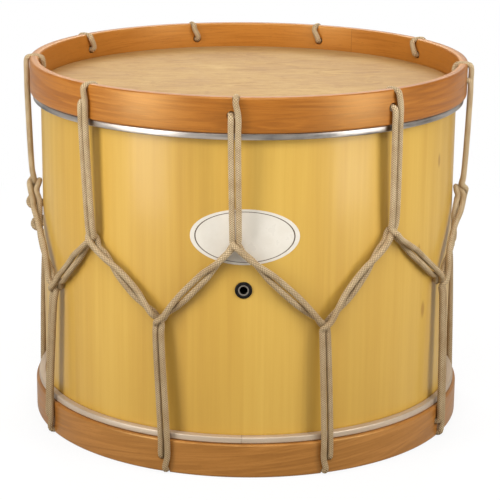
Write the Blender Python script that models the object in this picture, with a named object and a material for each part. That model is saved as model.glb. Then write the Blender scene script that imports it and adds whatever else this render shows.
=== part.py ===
"""Maracatu drum (alfaia) with rope tension.

A bent plywood shell stands between two rawhide heads. Each head's collar hangs in a metal flesh
ring, and a bent wooden counterhoop presses on each ring. One rope laces the hoops together through
nine holes and over nine notches in each, and a second rope is woven through the crossings of its
pairs and pulls the strands into a honeycomb. Metres, +Z up, the drum stands on z = 0 and its front
looks along -Y. Angles round the drum are in degrees from the front, positive to the right.
"""

import math

import bmesh
import bpy
import numpy as np
from mathutils import Matrix, Vector

# Clearance between pieces that touch, and between strands of rope
FIT = 0.0003
STRAND_GAP = 0.00045

# Shell
DRUM_HEIGHT = 0.400
SHELL_RADIUS = 0.2286
SHELL_WALL = 0.006
BEARING_CHAMFER = 0.0035
BEARING_ROUND = 0.0012

# Stiffening strips inside the shell's ends
STIFFENER_THICKNESS = 0.005
STIFFENER_HEIGHT = 0.030
STIFFENER_SETBACK = 0.008

# Heads
HEAD_DEPTH = 0.028
SKIN_THICKNESS = 0.0008
SKIN_ROUND = 0.0018

# Flesh rings
RING_WIDTH = 0.007
RING_HEIGHT = 0.0068
RING_ROUND = 0.0014

# Counterhoops
HOOP_THICKNESS = 0.010
HOOP_HEIGHT = 0.0365
HOOP_ROUND = 0.0025
HOLE_RADIUS = 0.0043
HOLE_DEPTH = 0.01825
NOTCH_ROOM = 0.0006
UPPER_NOTCH_DEPTH = 0.0050
FOOT_CLEARANCE = 0.0004

# Vent grommet
VENT_ANGLE = -0.8
VENT_HEIGHT = 0.200
VENT_BORE_RADIUS = 0.0040
VENT_TUBE_WALL = 0.0009
VENT_FLANGE_RADIUS = 0.0089
VENT_FLANGE_THICKNESS = 0.0016
VENT_WASHER_RADIUS = 0.0085
VENT_WASHER_THICKNESS = 0.0010
VENT_ROLL_RADIUS = 0.0068
VENT_ROLL_THICKNESS = 0.0008

# Ropes
ROPE_DIAMETER = 0.0062
BEND_RADIUS = 0.0037
HITCH_PITCH = 0.0074
HITCH_TURNS = 1
TAIL = 0.005
STEPS_PER_TURN = 10

# The lacing strand in front at a junction, from the hoop to the arm on the other side: sideways,
# rise towards the hoop and distance outwards, from the junction's middle
FRONT_STRAND = [
    (-0.0060, 0.0011, -0.0035),
    (-0.0050, -0.0033, -0.0023),
    (-0.0039, -0.0055, 0.0004),
    (-0.0023, -0.0078, 0.0029),
    (0.0004, -0.0105, 0.0037),
    (0.0042, -0.0124, 0.0026),
]

# The tension rope from the left arm over the strand in front, up to its way between the two
FIRST_PASS = [
    (-0.0090, -0.0014, 0.0035),
    (-0.0054, 0.0009, 0.0038),
    (-0.0021, 0.0019, 0.0023),
]

# The line that two ropes follow together starts here beside a junction, and the tension rope goes
# round it like this: share of the way down, and degrees from straight outwards, 90 above the line
ARM_SIDE = 0.0050
ARM_RISE = -0.0039
ARM_TWIST = [(0.15, 95.0), (0.21, 142.0), (0.27, 190.0), (0.335, 237.0), (0.87, 270.0)]

# The lacing's ends, joined behind the drum: distances from the junction's middle, and heights
JOINED_SIDE = 0.0050
PASSING_SIDE = 0.0102
JOINED_LIFT = 0.0016
PASSING_HEIGHTS = (0.112, 0.066)
FIRST_TURN_HEIGHT = 0.074
LAST_TURN_HEIGHT = 0.102

# Upper stops: notch angle, junction angle, junction height
UPPER_STOPS = [
    (-163.0, -163.0, 0.250),
    (-125.5, -125.5, 0.250),
    (-87.5, -86.5, 0.262),
    (-43.2, -42.4, 0.241),
    (-2.9, -2.8, 0.252),
    (38.4, 38.8, 0.2535),
    (81.5, 81.5, 0.264),
    (122.7, 122.7, 0.250),
    (159.5, 159.5, 0.250),
]

# Lower stops, each to the right of the upper stop in the same row: notch angle, junction angle,
# junction height, and the side of the notch that its hole is on
LOWER_STOPS = [
    (-140.8, -141.5, 0.167, -1),
    (-101.7, -102.3, 0.168, -1),
    (-61.4, -59.8, 0.165, -1),
    (-20.0, -22.0, 0.162, -1),
    (20.1, 19.6, 0.159, 1),
    (61.6, 61.5, 0.174, -1),
    (101.7, 101.7, 0.170, -1),
    (140.8, 140.8, 0.167, -1),
    (178.3, 178.3, 0.167, -1),
]

# Both ends of the tension rope are hitched to the left arm of the upper stop with this index, over
# these shares of the arm. The windings start at a distance from the ends and lift the strand.
HITCHED_STOP_INDEX = 2
HITCHED_SHARES = (0.26, 0.74)
HITCH_START = 0.002
HITCH_LIFT = 0.0010

# Faces round the drum, round a hole and round the grommet
SEGMENTS = 56
HOLE_SEGMENTS = 12
VENT_SEGMENTS = 16

# Sizes that follow from the ones above
COLLAR_INSIDE = SHELL_RADIUS + FIT
COLLAR_OUTSIDE = COLLAR_INSIDE + SKIN_THICKNESS
HOOP_INSIDE = COLLAR_OUTSIDE + FIT
HOOP_OUTSIDE = HOOP_INSIDE + HOOP_THICKNESS
RING_OUTSIDE = HOOP_INSIDE + RING_WIDTH
RING_EDGE = HOOP_HEIGHT + FIT
SHELL_END = HEAD_DEPTH + SKIN_THICKNESS + FIT
ROPE_RADIUS = ROPE_DIAMETER / 2
STRAND_PITCH = ROPE_DIAMETER + STRAND_GAP
LOWER_NOTCH_DEPTH = ROPE_DIAMETER + FIT + FOOT_CLEARANCE
OUTER_STRAND = HOOP_OUTSIDE + BEND_RADIUS
BACK_PASS = SHELL_RADIUS + FIT + ROPE_RADIUS
WOUND_RADIUS = STRAND_PITCH / math.cos(math.pi / STEPS_PER_TURN)
TWISTED_RADIUS = STRAND_PITCH / 2 / math.cos(math.radians(24.0))
JUNCTION_RADIUS = BACK_PASS + WOUND_RADIUS


def clear_scene():
    """Remove every object of the scene that is open."""
    for old in list(bpy.data.objects):
        bpy.data.objects.remove(old, do_unlink=True)


def make_material(name, color, roughness, metallic=0.0):
    """Return a Principled material of one colour."""
    material = bpy.data.materials.new(name)
    material.use_nodes = True
    shader = material.node_tree.nodes["Principled BSDF"]
    shader.inputs["Base Color"].default_value = (*color, 1.0)
    shader.inputs["Roughness"].default_value = roughness
    shader.inputs["Metallic"].default_value = metallic
    return material


def add_object(name, bm, material, smooth_angle=40.0):
    """Turn a bmesh into an object with outward faces and smooth round walls."""
    bmesh.ops.recalc_face_normals(bm, faces=bm.faces[:])
    mesh = bpy.data.meshes.new(name)
    bm.to_mesh(mesh)
    bm.free()
    mesh.shade_smooth()
    mesh.set_sharp_from_angle(angle=math.radians(smooth_angle))
    if material:
        mesh.materials.append(material)
    made = bpy.data.objects.new(name, mesh)
    bpy.context.scene.collection.objects.link(made)
    return made


def revolve(name, profile, material, segments=SEGMENTS, placement=None):
    """Turn a closed profile of (radius, height) points round the Z axis.

    A profile that begins and ends on the axis is closed along it. A face, not a corner, looks
    to the front, so the vent's flange lies on a flat.
    """
    bm = bmesh.new()
    points = [bm.verts.new((radius, 0.0, height)) for radius, height in profile]
    on_axis = profile[0][0] == 0.0 and profile[-1][0] == 0.0
    ends = points[1:] if on_axis else points[1:] + points[:1]
    for first, second in zip(points, ends):
        bm.edges.new((first, second))
    turn = Matrix.Rotation(math.radians(-90.0) + math.pi / segments, 4, "Z")
    bmesh.ops.transform(bm, matrix=turn, verts=bm.verts[:])
    bmesh.ops.spin(
        bm,
        geom=bm.verts[:] + bm.edges[:],
        cent=(0.0, 0.0, 0.0),
        axis=(0.0, 0.0, 1.0),
        angle=math.tau,
        steps=segments,
    )
    bmesh.ops.remove_doubles(bm, verts=bm.verts[:], dist=0.00001)
    if placement:
        bmesh.ops.transform(bm, matrix=placement, verts=bm.verts[:])
    return add_object(name, bm, material)


def flip(profile):
    """Mirror a profile from the drum's lower end to its upper end."""
    return [(radius, DRUM_HEIGHT - height) for radius, height in reversed(profile)]


def add_bevel(target, width, segments):
    """Round the sharp edges of a turned piece."""
    bevel = target.modifiers.new("Rounded edges", "BEVEL")
    bevel.width = width
    bevel.segments = segments
    bevel.limit_method = "ANGLE"
    bevel.angle_limit = math.radians(60.0)


def cut(target, cutter):
    """Cut one object out of another and keep the cutter as a guide."""
    cutter.hide_render = True
    cutter.display_type = "WIRE"
    boolean = target.modifiers.new("Cut", "BOOLEAN")
    boolean.operation = "DIFFERENCE"
    boolean.solver = "EXACT"
    boolean.object = cutter


def outward(angle):
    """Return the matrix that turns +Z to point out of the drum at an angle."""
    turn = Matrix.Rotation(math.radians(angle), 4, "Z")
    return turn @ Matrix.Rotation(math.radians(90.0), 4, "X")


def at(angle, radius, height):
    """Return the point at an angle round the drum, a radius and a height."""
    turn = math.radians(angle)
    return Vector((radius * math.sin(turn), -radius * math.cos(turn), height))


def degrees_of(length):
    """Return the angle that a sideways length takes up among the strands."""
    return math.degrees(length / JUNCTION_RADIUS)


def shell_profile():
    """Return the shell's section: a ply wall whose ends are bearing edges."""
    inside = SHELL_RADIUS - SHELL_WALL
    foot = [
        (inside, SHELL_END + BEARING_CHAMFER),
        (inside + BEARING_CHAMFER, SHELL_END),
        (SHELL_RADIUS - BEARING_ROUND, SHELL_END),
        (SHELL_RADIUS, SHELL_END + BEARING_ROUND),
    ]
    return foot + flip(foot)


def make_shell(material):
    """Make the shell with its vent hole."""
    shell = revolve("shell", shell_profile(), material)
    bm = bmesh.new()
    bmesh.ops.create_cone(
        bm,
        cap_ends=True,
        segments=VENT_SEGMENTS,
        radius1=VENT_BORE_RADIUS + VENT_TUBE_WALL + FIT,
        radius2=VENT_BORE_RADIUS + VENT_TUBE_WALL + FIT,
        depth=SHELL_WALL * 3,
        matrix=Matrix.Translation(at(VENT_ANGLE, SHELL_RADIUS, VENT_HEIGHT)) @ outward(VENT_ANGLE),
    )
    cut(shell, add_object("vent_cutter", bm, None))


def make_stiffeners(material):
    """Make the strips that are glued inside the shell's ends."""
    outside = SHELL_RADIUS - SHELL_WALL - FIT
    low = SHELL_END + STIFFENER_SETBACK
    section = [
        (outside - STIFFENER_THICKNESS, low),
        (outside, low),
        (outside, low + STIFFENER_HEIGHT),
        (outside - STIFFENER_THICKNESS, low + STIFFENER_HEIGHT),
    ]
    revolve("lower_stiffener", section, material)
    revolve("upper_stiffener", flip(section), material)


def make_heads(material):
    """Make the two skins, each with the collar that hangs in its flesh ring."""
    edge = RING_EDGE + RING_HEIGHT - FIT
    inner_round = SKIN_ROUND - SKIN_THICKNESS
    diagonal = 1.0 - math.cos(math.radians(45.0))
    section = [
        (0.0, HEAD_DEPTH),
        (COLLAR_OUTSIDE - SKIN_ROUND, HEAD_DEPTH),
        (COLLAR_OUTSIDE - SKIN_ROUND * diagonal, HEAD_DEPTH + SKIN_ROUND * diagonal),
        (COLLAR_OUTSIDE, HEAD_DEPTH + SKIN_ROUND),
        (COLLAR_OUTSIDE, edge),
        (COLLAR_INSIDE, edge),
        (COLLAR_INSIDE, HEAD_DEPTH + SKIN_THICKNESS + inner_round),
        (COLLAR_INSIDE - inner_round, HEAD_DEPTH + SKIN_THICKNESS),
        (0.0, HEAD_DEPTH + SKIN_THICKNESS),
    ]
    revolve("lower_head", section, material)
    revolve("upper_head", flip(section), material)


def make_flesh_rings(material):
    """Make the two metal rings that the collars are held in."""
    top = RING_EDGE + RING_HEIGHT
    section = [
        (HOOP_INSIDE, RING_EDGE),
        (RING_OUTSIDE - RING_ROUND, RING_EDGE),
        (RING_OUTSIDE, RING_EDGE + RING_ROUND),
        (RING_OUTSIDE, top - RING_ROUND),
        (RING_OUTSIDE - RING_ROUND, top),
        (HOOP_INSIDE, top),
    ]
    revolve("lower_flesh_ring", section, material)
    revolve("upper_flesh_ring", flip(section), material)


def hole_angle(notch_angle, side):
    """Return the angle of the rope hole beside a notch."""
    return notch_angle + side * degrees_of(STRAND_PITCH * 0.68)


def add_hole_cutter(bm, angle, height):
    """Add the round bar that drills one rope hole."""
    middle = HOOP_INSIDE + HOOP_THICKNESS / 2
    bmesh.ops.create_cone(
        bm,
        cap_ends=True,
        segments=HOLE_SEGMENTS,
        radius1=HOLE_RADIUS,
        radius2=HOLE_RADIUS,
        depth=HOOP_THICKNESS * 2,
        matrix=Matrix.Translation(at(angle, middle, height)) @ outward(angle),
    )


def add_notch_cutter(bm, angle, rim, direction, depth):
    """Add the round-bottomed bar that cuts one notch into a hoop's rim."""
    half_width = ROPE_RADIUS + NOTCH_ROOM
    middle = depth - half_width
    arc = [math.pi * step / 6 for step in range(7)]
    outline = [(half_width * math.cos(turn), middle + half_width * math.sin(turn)) for turn in arc]
    outline += [(-half_width, -HOOP_ROUND * 2), (half_width, -HOOP_ROUND * 2)]
    near = HOOP_INSIDE - HOOP_THICKNESS / 2
    turn = Matrix.Rotation(math.radians(angle), 4, "Z")
    corners = [bm.verts.new(turn @ Vector((side, -near, rim - direction * drop))) for side, drop in outline]
    bar = bmesh.ops.extrude_face_region(bm, geom=[bm.faces.new(corners)])
    far_corners = [item for item in bar["geom"] if isinstance(item, bmesh.types.BMVert)]
    bmesh.ops.translate(bm, verts=far_corners, vec=at(angle, HOOP_THICKNESS * 2, 0.0))


def make_hoop(name, section, rim, direction, stops, notch_depth, material):
    """Make a counterhoop with its rope holes and notches.

    direction is 1 where the rim is the hoop's upper edge and -1 where it is the lower one, and
    stops holds each notch's angle with the side that its hole is on.
    """
    hoop = revolve(name, section, material)
    add_bevel(hoop, HOOP_ROUND, 2)
    bm = bmesh.new()
    for angle, side in stops:
        add_hole_cutter(bm, hole_angle(angle, side), rim - direction * HOLE_DEPTH)
        add_notch_cutter(bm, angle, rim, direction, notch_depth)
    cut(hoop, add_object(name + "_cutter", bm, None))


def make_hoops(material):
    """Make both counterhoops."""
    section = [
        (HOOP_INSIDE, 0.0),
        (HOOP_OUTSIDE, 0.0),
        (HOOP_OUTSIDE, HOOP_HEIGHT),
        (HOOP_INSIDE, HOOP_HEIGHT),
    ]
    lower = [(notch, side) for notch, _, _, side in LOWER_STOPS]
    upper = [(notch, -1) for notch, _, _ in UPPER_STOPS]
    make_hoop("lower_hoop", section, 0.0, -1, lower, LOWER_NOTCH_DEPTH, material)
    make_hoop("upper_hoop", flip(section), DRUM_HEIGHT, 1, upper, UPPER_NOTCH_DEPTH, material)


def make_vent(eyelet_material, washer_material):
    """Make the grommet: an eyelet whose tube is rolled over a washer inside the shell.

    Both are turned round +Z with the shell's outside at zero, and then set into the wall. The
    flat washer bridges the hollow of the wall's round inside.
    """
    placement = Matrix.Translation(at(VENT_ANGLE, SHELL_RADIUS, VENT_HEIGHT)) @ outward(VENT_ANGLE)
    tube = VENT_BORE_RADIUS + VENT_TUBE_WALL
    inside = SHELL_RADIUS - SHELL_WALL
    hollow = VENT_WASHER_RADIUS**2 / (2 * inside) + inside * (1.0 - math.cos(math.pi / SEGMENTS))
    washer_face = -SHELL_WALL - hollow - FIT
    roll_face = washer_face - VENT_WASHER_THICKNESS - FIT
    end = roll_face - VENT_ROLL_THICKNESS
    crown = FIT + VENT_FLANGE_THICKNESS
    eyelet = [
        (VENT_BORE_RADIUS, end + VENT_ROLL_THICKNESS * 0.5),
        (VENT_BORE_RADIUS + VENT_TUBE_WALL, end),
        (VENT_ROLL_RADIUS, end),
        (VENT_ROLL_RADIUS, roll_face),
        (tube, roll_face),
        (tube, FIT),
        (VENT_FLANGE_RADIUS, FIT),
        (VENT_FLANGE_RADIUS - VENT_TUBE_WALL, crown),
        (VENT_BORE_RADIUS + VENT_TUBE_WALL * 2, crown),
        (VENT_BORE_RADIUS, crown - VENT_FLANGE_THICKNESS * 0.4),
    ]
    washer = [
        (tube + FIT, washer_face - VENT_WASHER_THICKNESS),
        (VENT_WASHER_RADIUS, washer_face - VENT_WASHER_THICKNESS),
        (VENT_WASHER_RADIUS, washer_face),
        (tube + FIT, washer_face),
    ]
    revolve("vent_eyelet", eyelet, eyelet_material, VENT_SEGMENTS, placement)
    revolve("vent_washer", washer, washer_material, VENT_SEGMENTS, placement)


def make_rope(name, route, material):
    """Make a rope as a round curve through its route's points."""
    curve = bpy.data.curves.new(name, "CURVE")
    curve.dimensions = "3D"
    curve.bevel_depth = ROPE_RADIUS
    curve.bevel_resolution = 1
    curve.use_fill_caps = True
    spline = curve.splines.new("POLY")
    spline.points.add(len(route) - 1)
    for point, place in zip(spline.points, route):
        point.co = (*place, 1.0)
    curve.materials.append(material)
    made = bpy.data.objects.new(name, curve)
    bpy.context.scene.collection.objects.link(made)


def bend(middle_radius, middle_depth, start, end):
    """Return (radius, depth) points on a bend of the rope round an edge of the hoop.

    start and end are angles in degrees, counted from straight outwards towards the drum's middle.
    """
    points = []
    for turn in (start, (start + end) / 2, end):
        outwards = math.cos(math.radians(turn))
        inwards = math.sin(math.radians(turn))
        points.append((middle_radius + BEND_RADIUS * outwards, middle_depth + BEND_RADIUS * inwards))
    return points


def stop_route(notch_angle, side, rim, direction, notch_depth):
    """Return the rope's points at a stop, from the strand that enters the hole.

    The rope turns in through the hole, climbs the hoop's inner face, crosses the rim in the
    notch and comes down the outer face beside the strand that it came from.
    """
    crossing = notch_depth - FIT - ROPE_RADIUS
    at_hole = side * degrees_of(STRAND_PITCH * 0.68)
    beside_hole = -side * degrees_of(STRAND_PITCH * 0.36)
    into_hole = bend(HOOP_OUTSIDE, HOLE_DEPTH + BEND_RADIUS, 0.0, -90.0)
    out_of_hole = bend(HOOP_INSIDE, HOLE_DEPTH - BEND_RADIUS, 90.0, 180.0)
    up_to_rim = bend(HOOP_INSIDE, crossing + BEND_RADIUS, 180.0, 270.0)
    over_rim = bend(HOOP_OUTSIDE, crossing + BEND_RADIUS, -90.0, 0.0)
    stations = [(at_hole, OUTER_STRAND, HOOP_HEIGHT)]
    stations += [(at_hole, *place) for place in into_hole + out_of_hole]
    stations += [(0.0, *place) for place in up_to_rim + over_rim]
    stations += [(beside_hole, OUTER_STRAND, HOLE_DEPTH), (beside_hole, OUTER_STRAND, HOOP_HEIGHT)]
    return [
        at(notch_angle + offset, radius, rim - direction * depth) for offset, radius, depth in stations
    ]


def junction_point(junction, sideways, radius, rise, direction):
    """Return a point beside a junction.

    junction is its (angle, height), sideways and rise are lengths, and direction is 1 at an upper
    junction, whose arms go down, and -1 at a lower one, which is the same upside down.
    """
    angle, height = junction
    return at(angle + degrees_of(sideways), radius, height + direction * rise)


def at_junction(junction, stations, direction):
    """Return the points at a junction's stations of sideways, rise and distance outwards."""
    return [
        junction_point(junction, sideways, JUNCTION_RADIUS + out, rise, direction)
        for sideways, rise, out in stations
    ]


def turned_round(stations):
    """Turn stations half round the upright through their junction and reverse their order."""
    return [(-sideways, rise, -out) for sideways, rise, out in reversed(stations)]


def front_strand(junction, direction):
    """Return the points of the strand that crosses in front to a junction's right arm."""
    return at_junction(junction, FRONT_STRAND, direction)


def rear_strand(junction, direction):
    """Return the points of the strand that comes from the left arm and crosses behind."""
    return at_junction(junction, turned_round(FRONT_STRAND), direction)


def woven_pass(junction, direction):
    """Return the tension rope's points at a junction, from its left arm to its right arm.

    The two strands of a stop cross each other. The tension rope goes in front of the left one,
    through between them above the crossing, and behind the right one.
    """
    return at_junction(junction, FIRST_PASS + turned_round(FIRST_PASS), direction)


def arm(high_junction, low_junction, side):
    """Return the ends of the line that two ropes follow down from one side of an upper junction."""
    return (
        junction_point(high_junction, side * ARM_SIDE, JUNCTION_RADIUS, ARM_RISE, 1),
        junction_point(low_junction, -side * ARM_SIDE, JUNCTION_RADIUS, ARM_RISE, -1),
    )


def beside_line(line, share, turn, distance):
    """Return a point at a distance from a line that slants down the shell.

    line holds its ends and share is how far down it the point is. turn goes round it in degrees: 0
    is on the outside, -90 below the line and 90 above it. The line is kept clear of the shell.
    """
    high, low = line
    middle = high.lerp(low, share)
    outside = Vector((middle.x, middle.y, 0.0)).normalized()
    lift = BACK_PASS + FIT + TWISTED_RADIUS - math.hypot(middle.x, middle.y)
    if lift > 0.0:
        middle += outside * lift
    above = outside.cross((low - high).normalized())
    if above.z < 0.0:
        above.negate()
    round_it = outside * math.cos(math.radians(turn)) + above * math.sin(math.radians(turn))
    return middle + round_it * distance


def arm_strand(line, half_turn):
    """Return one rope's points down an arm: the tension rope's, or half a turn on the lacing's.

    The tension rope leaves an upper junction above the lacing, slips behind it, and reaches the
    lower junction below it.
    """
    return [beside_line(line, share, turn + half_turn, TWISTED_RADIUS) for share, turn in ARM_TWIST]


def hitched_strand():
    """Return the stretch of the lacing that both ends of the tension rope are wound round.

    The windings lift it clear of the shell.
    """
    line = arm(upper_junction(HITCHED_STOP_INDEX), lower_junction(HITCHED_STOP_INDEX - 1), -1)
    lifted = []
    for share in HITCHED_SHARES:
        place = line[0].lerp(line[1], share)
        outside = Vector((place.x, place.y, 0.0)).normalized() * (JUNCTION_RADIUS + HITCH_LIFT)
        lifted.append(Vector((outside.x, outside.y, place.z)))
    return lifted


def hitch(start, end, turn):
    """Return the points of an end that winds round the hitched strand, from its tail.

    start and end are distances down that stretch and turn is the angle that the winding ends at.
    """
    line = hitched_strand()
    length = (line[1] - line[0]).length
    steps = HITCH_TURNS * STEPS_PER_TURN
    sense = 1.0 if turn < 0.0 else -1.0
    tail = start + TAIL * (1.0 if start > end else -1.0)
    points = [beside_line(line, tail / length, turn, WOUND_RADIUS)]
    for step in range(steps + 1):
        place = start + (end - start) * step / steps
        turned = turn + sense * 360.0 * (HITCH_TURNS - step / STEPS_PER_TURN)
        points.append(beside_line(line, place / length, turned, WOUND_RADIUS))
    return points


def upper_junction(index):
    """Return an upper junction's (angle, height)."""
    return UPPER_STOPS[index % len(UPPER_STOPS)][1:3]


def lower_junction(index):
    """Return a lower junction's (angle, height)."""
    return LOWER_STOPS[index % len(LOWER_STOPS)][1:3]


def tension_route():
    """Return the tension rope's points, all the way round from the hitched strand and back to it."""
    count = len(UPPER_STOPS)
    high, low = hitched_strand()
    foot = (low - high).length - HITCH_START
    wound = HITCH_PITCH * HITCH_TURNS
    route = hitch(HITCH_START + wound, HITCH_START, 90.0)
    for step in range(count):
        index = HITCHED_STOP_INDEX + step
        here, after = upper_junction(index), lower_junction(index)
        route += woven_pass(here, 1)
        route += arm_strand(arm(here, after, 1), 0.0)
        route += woven_pass(after, -1)
        if step < count - 1:
            route += reversed(arm_strand(arm(upper_junction(index + 1), after, -1), 0.0))
    return route + list(reversed(hitch(foot - wound, foot, -90.0)))


def wind(middle, side, heights):
    """Return the points of an end that winds round an upright strand behind the drum."""
    angle, radius = middle
    steps = HITCH_TURNS * STEPS_PER_TURN
    points = []
    for step in range(steps + 1):
        turn = side * (math.pi / 2 + math.tau * step / STEPS_PER_TURN)
        height = heights[0] + (heights[1] - heights[0]) * step / steps
        sideways = degrees_of(WOUND_RADIUS * math.sin(turn))
        points.append(at(angle + sideways, radius + WOUND_RADIUS * math.cos(turn), height))
    return points


def joining_knot():
    """Return the two ends of the lacing, which are joined behind the drum.

    Each end lies beside the other and winds round it: the first list comes from the knot, the
    second goes into it.
    """
    angle = lower_junction(-1)[0]
    radius = JUNCTION_RADIUS + JOINED_LIFT
    rising = (angle - degrees_of(JOINED_SIDE), radius)
    falling = (angle - degrees_of(JOINED_SIDE + WOUND_RADIUS), radius)
    wound = HITCH_PITCH * HITCH_TURNS
    foot = FIRST_TURN_HEIGHT - wound - TAIL
    head = LAST_TURN_HEIGHT + wound + TAIL
    first = [at(*falling, foot)]
    first += reversed(wind(rising, -1, (FIRST_TURN_HEIGHT, FIRST_TURN_HEIGHT - wound)))
    first += [at(*falling, FIRST_TURN_HEIGHT + TAIL), at(*falling, head)]
    second = [at(*rising, foot), at(*rising, LAST_TURN_HEIGHT - TAIL)]
    second += wind(falling, 1, (LAST_TURN_HEIGHT, LAST_TURN_HEIGHT + wound))
    second.append(at(*rising, head))
    return first, second


def lacing_route():
    """Return the lacing rope's points, from its knot round the whole drum and back to it."""
    route, second = joining_knot()
    count = len(UPPER_STOPS)
    for index in range(count):
        before, here, after = lower_junction(index - 1), upper_junction(index), lower_junction(index)
        route += front_strand(before, -1)
        if index == HITCHED_STOP_INDEX:
            route += reversed(hitched_strand())
        else:
            route += reversed(arm_strand(arm(here, before, -1), 180.0))
        route += rear_strand(here, 1)
        route += reversed(stop_route(UPPER_STOPS[index][0], -1, DRUM_HEIGHT, 1, UPPER_NOTCH_DEPTH))
        route += front_strand(here, 1)
        route += arm_strand(arm(here, after, 1), 180.0)
        route += rear_strand(after, -1)
        if index == count - 1:
            passing = (after[0] + degrees_of(PASSING_SIDE), JUNCTION_RADIUS + JOINED_LIFT)
            route += [at(*passing, height) for height in PASSING_HEIGHTS]
        notch, side = LOWER_STOPS[index][0], LOWER_STOPS[index][3]
        stop = stop_route(notch, side, 0.0, -1, LOWER_NOTCH_DEPTH)
        route += reversed(stop) if side < 0 else stop
    return route + second


def sampled(route):
    """Return closely spaced points along a route, with their distances along it."""
    points = []
    places = []
    travelled = 0.0
    for start, end in zip(route, route[1:]):
        length = (end - start).length
        steps = max(1, round(length / 0.001))
        for step in range(steps):
            points.append(start.lerp(end, step / steps))
            places.append(travelled + length * step / steps)
        travelled += length
    return np.array(points), np.array(places)


def least_gap(one, other=None):
    """Return the least gap in metres between two ropes, or between a rope and itself, and its place."""
    points, places = sampled(one)
    against, marks = sampled(other) if other else (points, places)
    best = (math.inf, None)
    for row in range(0, len(points), 400):
        apart = np.linalg.norm(points[row : row + 400, None] - against[None], axis=2)
        if other is None:
            near = np.abs(places[row : row + 400, None] - marks[None]) < ROPE_DIAMETER * 2.4
            apart[near] = math.inf
        found = np.unravel_index(np.argmin(apart), apart.shape)
        if apart[found] < best[0]:
            best = (apart[found], points[row + found[0]])
    return best[0] - ROPE_DIAMETER, best[1]


def make_ropes(lacing_material, tension_material):
    """Make both ropes and print how close their strands come."""
    lacing = lacing_route()
    tension = tension_route()
    make_rope("lacing_rope", lacing, lacing_material)
    make_rope("tension_rope", tension, tension_material)
    pairs = [
        ("lacing to itself", lacing, None),
        ("tension to itself", tension, None),
        ("lacing to tension", lacing, tension),
    ]
    for words, one, other in pairs:
        gap, place = least_gap(one, other)
        print(f"Least gap, {words}: {gap * 1000:.2f} mm at {[round(value, 4) for value in place]}")
    for words, route in (("lacing", lacing), ("tension", tension)):
        print(f"Length of the {words} rope: {sampled(route)[1][-1]:.2f} m, {len(route)} points")


def main():
    clear_scene()
    wood = make_material("lacquered_shell", (0.72, 0.47, 0.12), 0.28)
    inner_wood = make_material("bare_ply", (0.60, 0.42, 0.22), 0.6)
    hoop_wood = make_material("lacquered_hoop", (0.60, 0.24, 0.07), 0.3)
    skin = make_material("rawhide", (0.62, 0.44, 0.24), 0.55)
    ring_metal = make_material("ring_metal", (0.80, 0.79, 0.76), 0.25, 1.0)
    rubber = make_material("vent_black", (0.015, 0.013, 0.012), 0.4)
    washer_metal = make_material("washer_metal", (0.6, 0.6, 0.6), 0.4, 1.0)
    lacing = make_material("lacing_braid", (0.56, 0.46, 0.32), 0.85)
    tension = make_material("tension_braid", (0.56, 0.46, 0.32), 0.85)
    make_shell(wood)
    make_stiffeners(inner_wood)
    make_heads(skin)
    make_flesh_rings(ring_metal)
    make_hoops(hoop_wood)
    make_vent(rubber, washer_metal)
    make_ropes(lacing, tension)


main()
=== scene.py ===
"""Looks of a maracatu drum: lacquered shell, varnished hoops, rawhide heads and braided ropes.

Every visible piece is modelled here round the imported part, at the part's own sizes, and rides on
its one body. Metres, +Z up, the drum's front looks along -Y. Angles round the drum are in degrees
from the front, positive to the right.
"""

import logging
import math
from collections.abc import Callable, Sequence
from dataclasses import dataclass, field
from enum import Enum

import bpy
import numpy as np
from mathutils import Matrix, Vector, noise


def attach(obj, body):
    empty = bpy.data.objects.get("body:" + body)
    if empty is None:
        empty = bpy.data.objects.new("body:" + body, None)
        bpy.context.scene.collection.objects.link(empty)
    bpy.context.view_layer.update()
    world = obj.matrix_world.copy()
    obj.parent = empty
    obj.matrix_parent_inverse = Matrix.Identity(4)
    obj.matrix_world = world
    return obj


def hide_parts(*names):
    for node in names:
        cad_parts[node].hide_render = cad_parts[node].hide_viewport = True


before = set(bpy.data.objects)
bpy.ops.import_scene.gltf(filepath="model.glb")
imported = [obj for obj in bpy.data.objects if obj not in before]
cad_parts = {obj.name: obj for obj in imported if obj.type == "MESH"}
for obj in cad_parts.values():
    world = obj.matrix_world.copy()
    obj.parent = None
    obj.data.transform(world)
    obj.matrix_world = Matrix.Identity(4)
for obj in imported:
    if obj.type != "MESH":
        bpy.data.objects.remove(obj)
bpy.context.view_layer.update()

log = logging.getLogger("drum")

Colour = tuple[float, float, float, float]
Station = tuple[float, float, float]
Place = tuple[float, float]
Line = tuple[Vector, Vector]


# ---- names used in several places ----


class Pick(Enum):
    """What is picked in edit mode."""

    VERTICES = "VERT"
    EDGES = "EDGE"
    FACES = "FACE"


class End(Enum):
    """The drum's two ends, with the way that points out of the drum there."""

    UPPER = 1
    LOWER = -1


class Polish(Enum):
    """How the metal of a flesh ring is finished."""

    BRIGHT = "bright"
    SATIN = "satin"


@dataclass(frozen=True)
class Sizes:
    """The part's own sizes, which every sub-assembly shares."""

    fit: float = 0.0003
    height: float = 0.400
    shell_radius: float = 0.2286
    shell_wall: float = 0.006
    shell_end: float = 0.0291
    head_depth: float = 0.028
    skin: float = 0.0008
    collar_outside: float = 0.2297
    hoop_inside: float = 0.2300
    hoop_outside: float = 0.2400
    hoop_height: float = 0.0365
    ring_edge: float = 0.0368
    ring_height: float = 0.0068
    ring_outside: float = 0.2370

    def level(self, end: End, depth: float) -> float:
        """Return the height of a place that lies a depth inwards from one end of the drum."""
        return self.height - depth if end is End.UPPER else depth


SIZES = Sizes()

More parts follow.
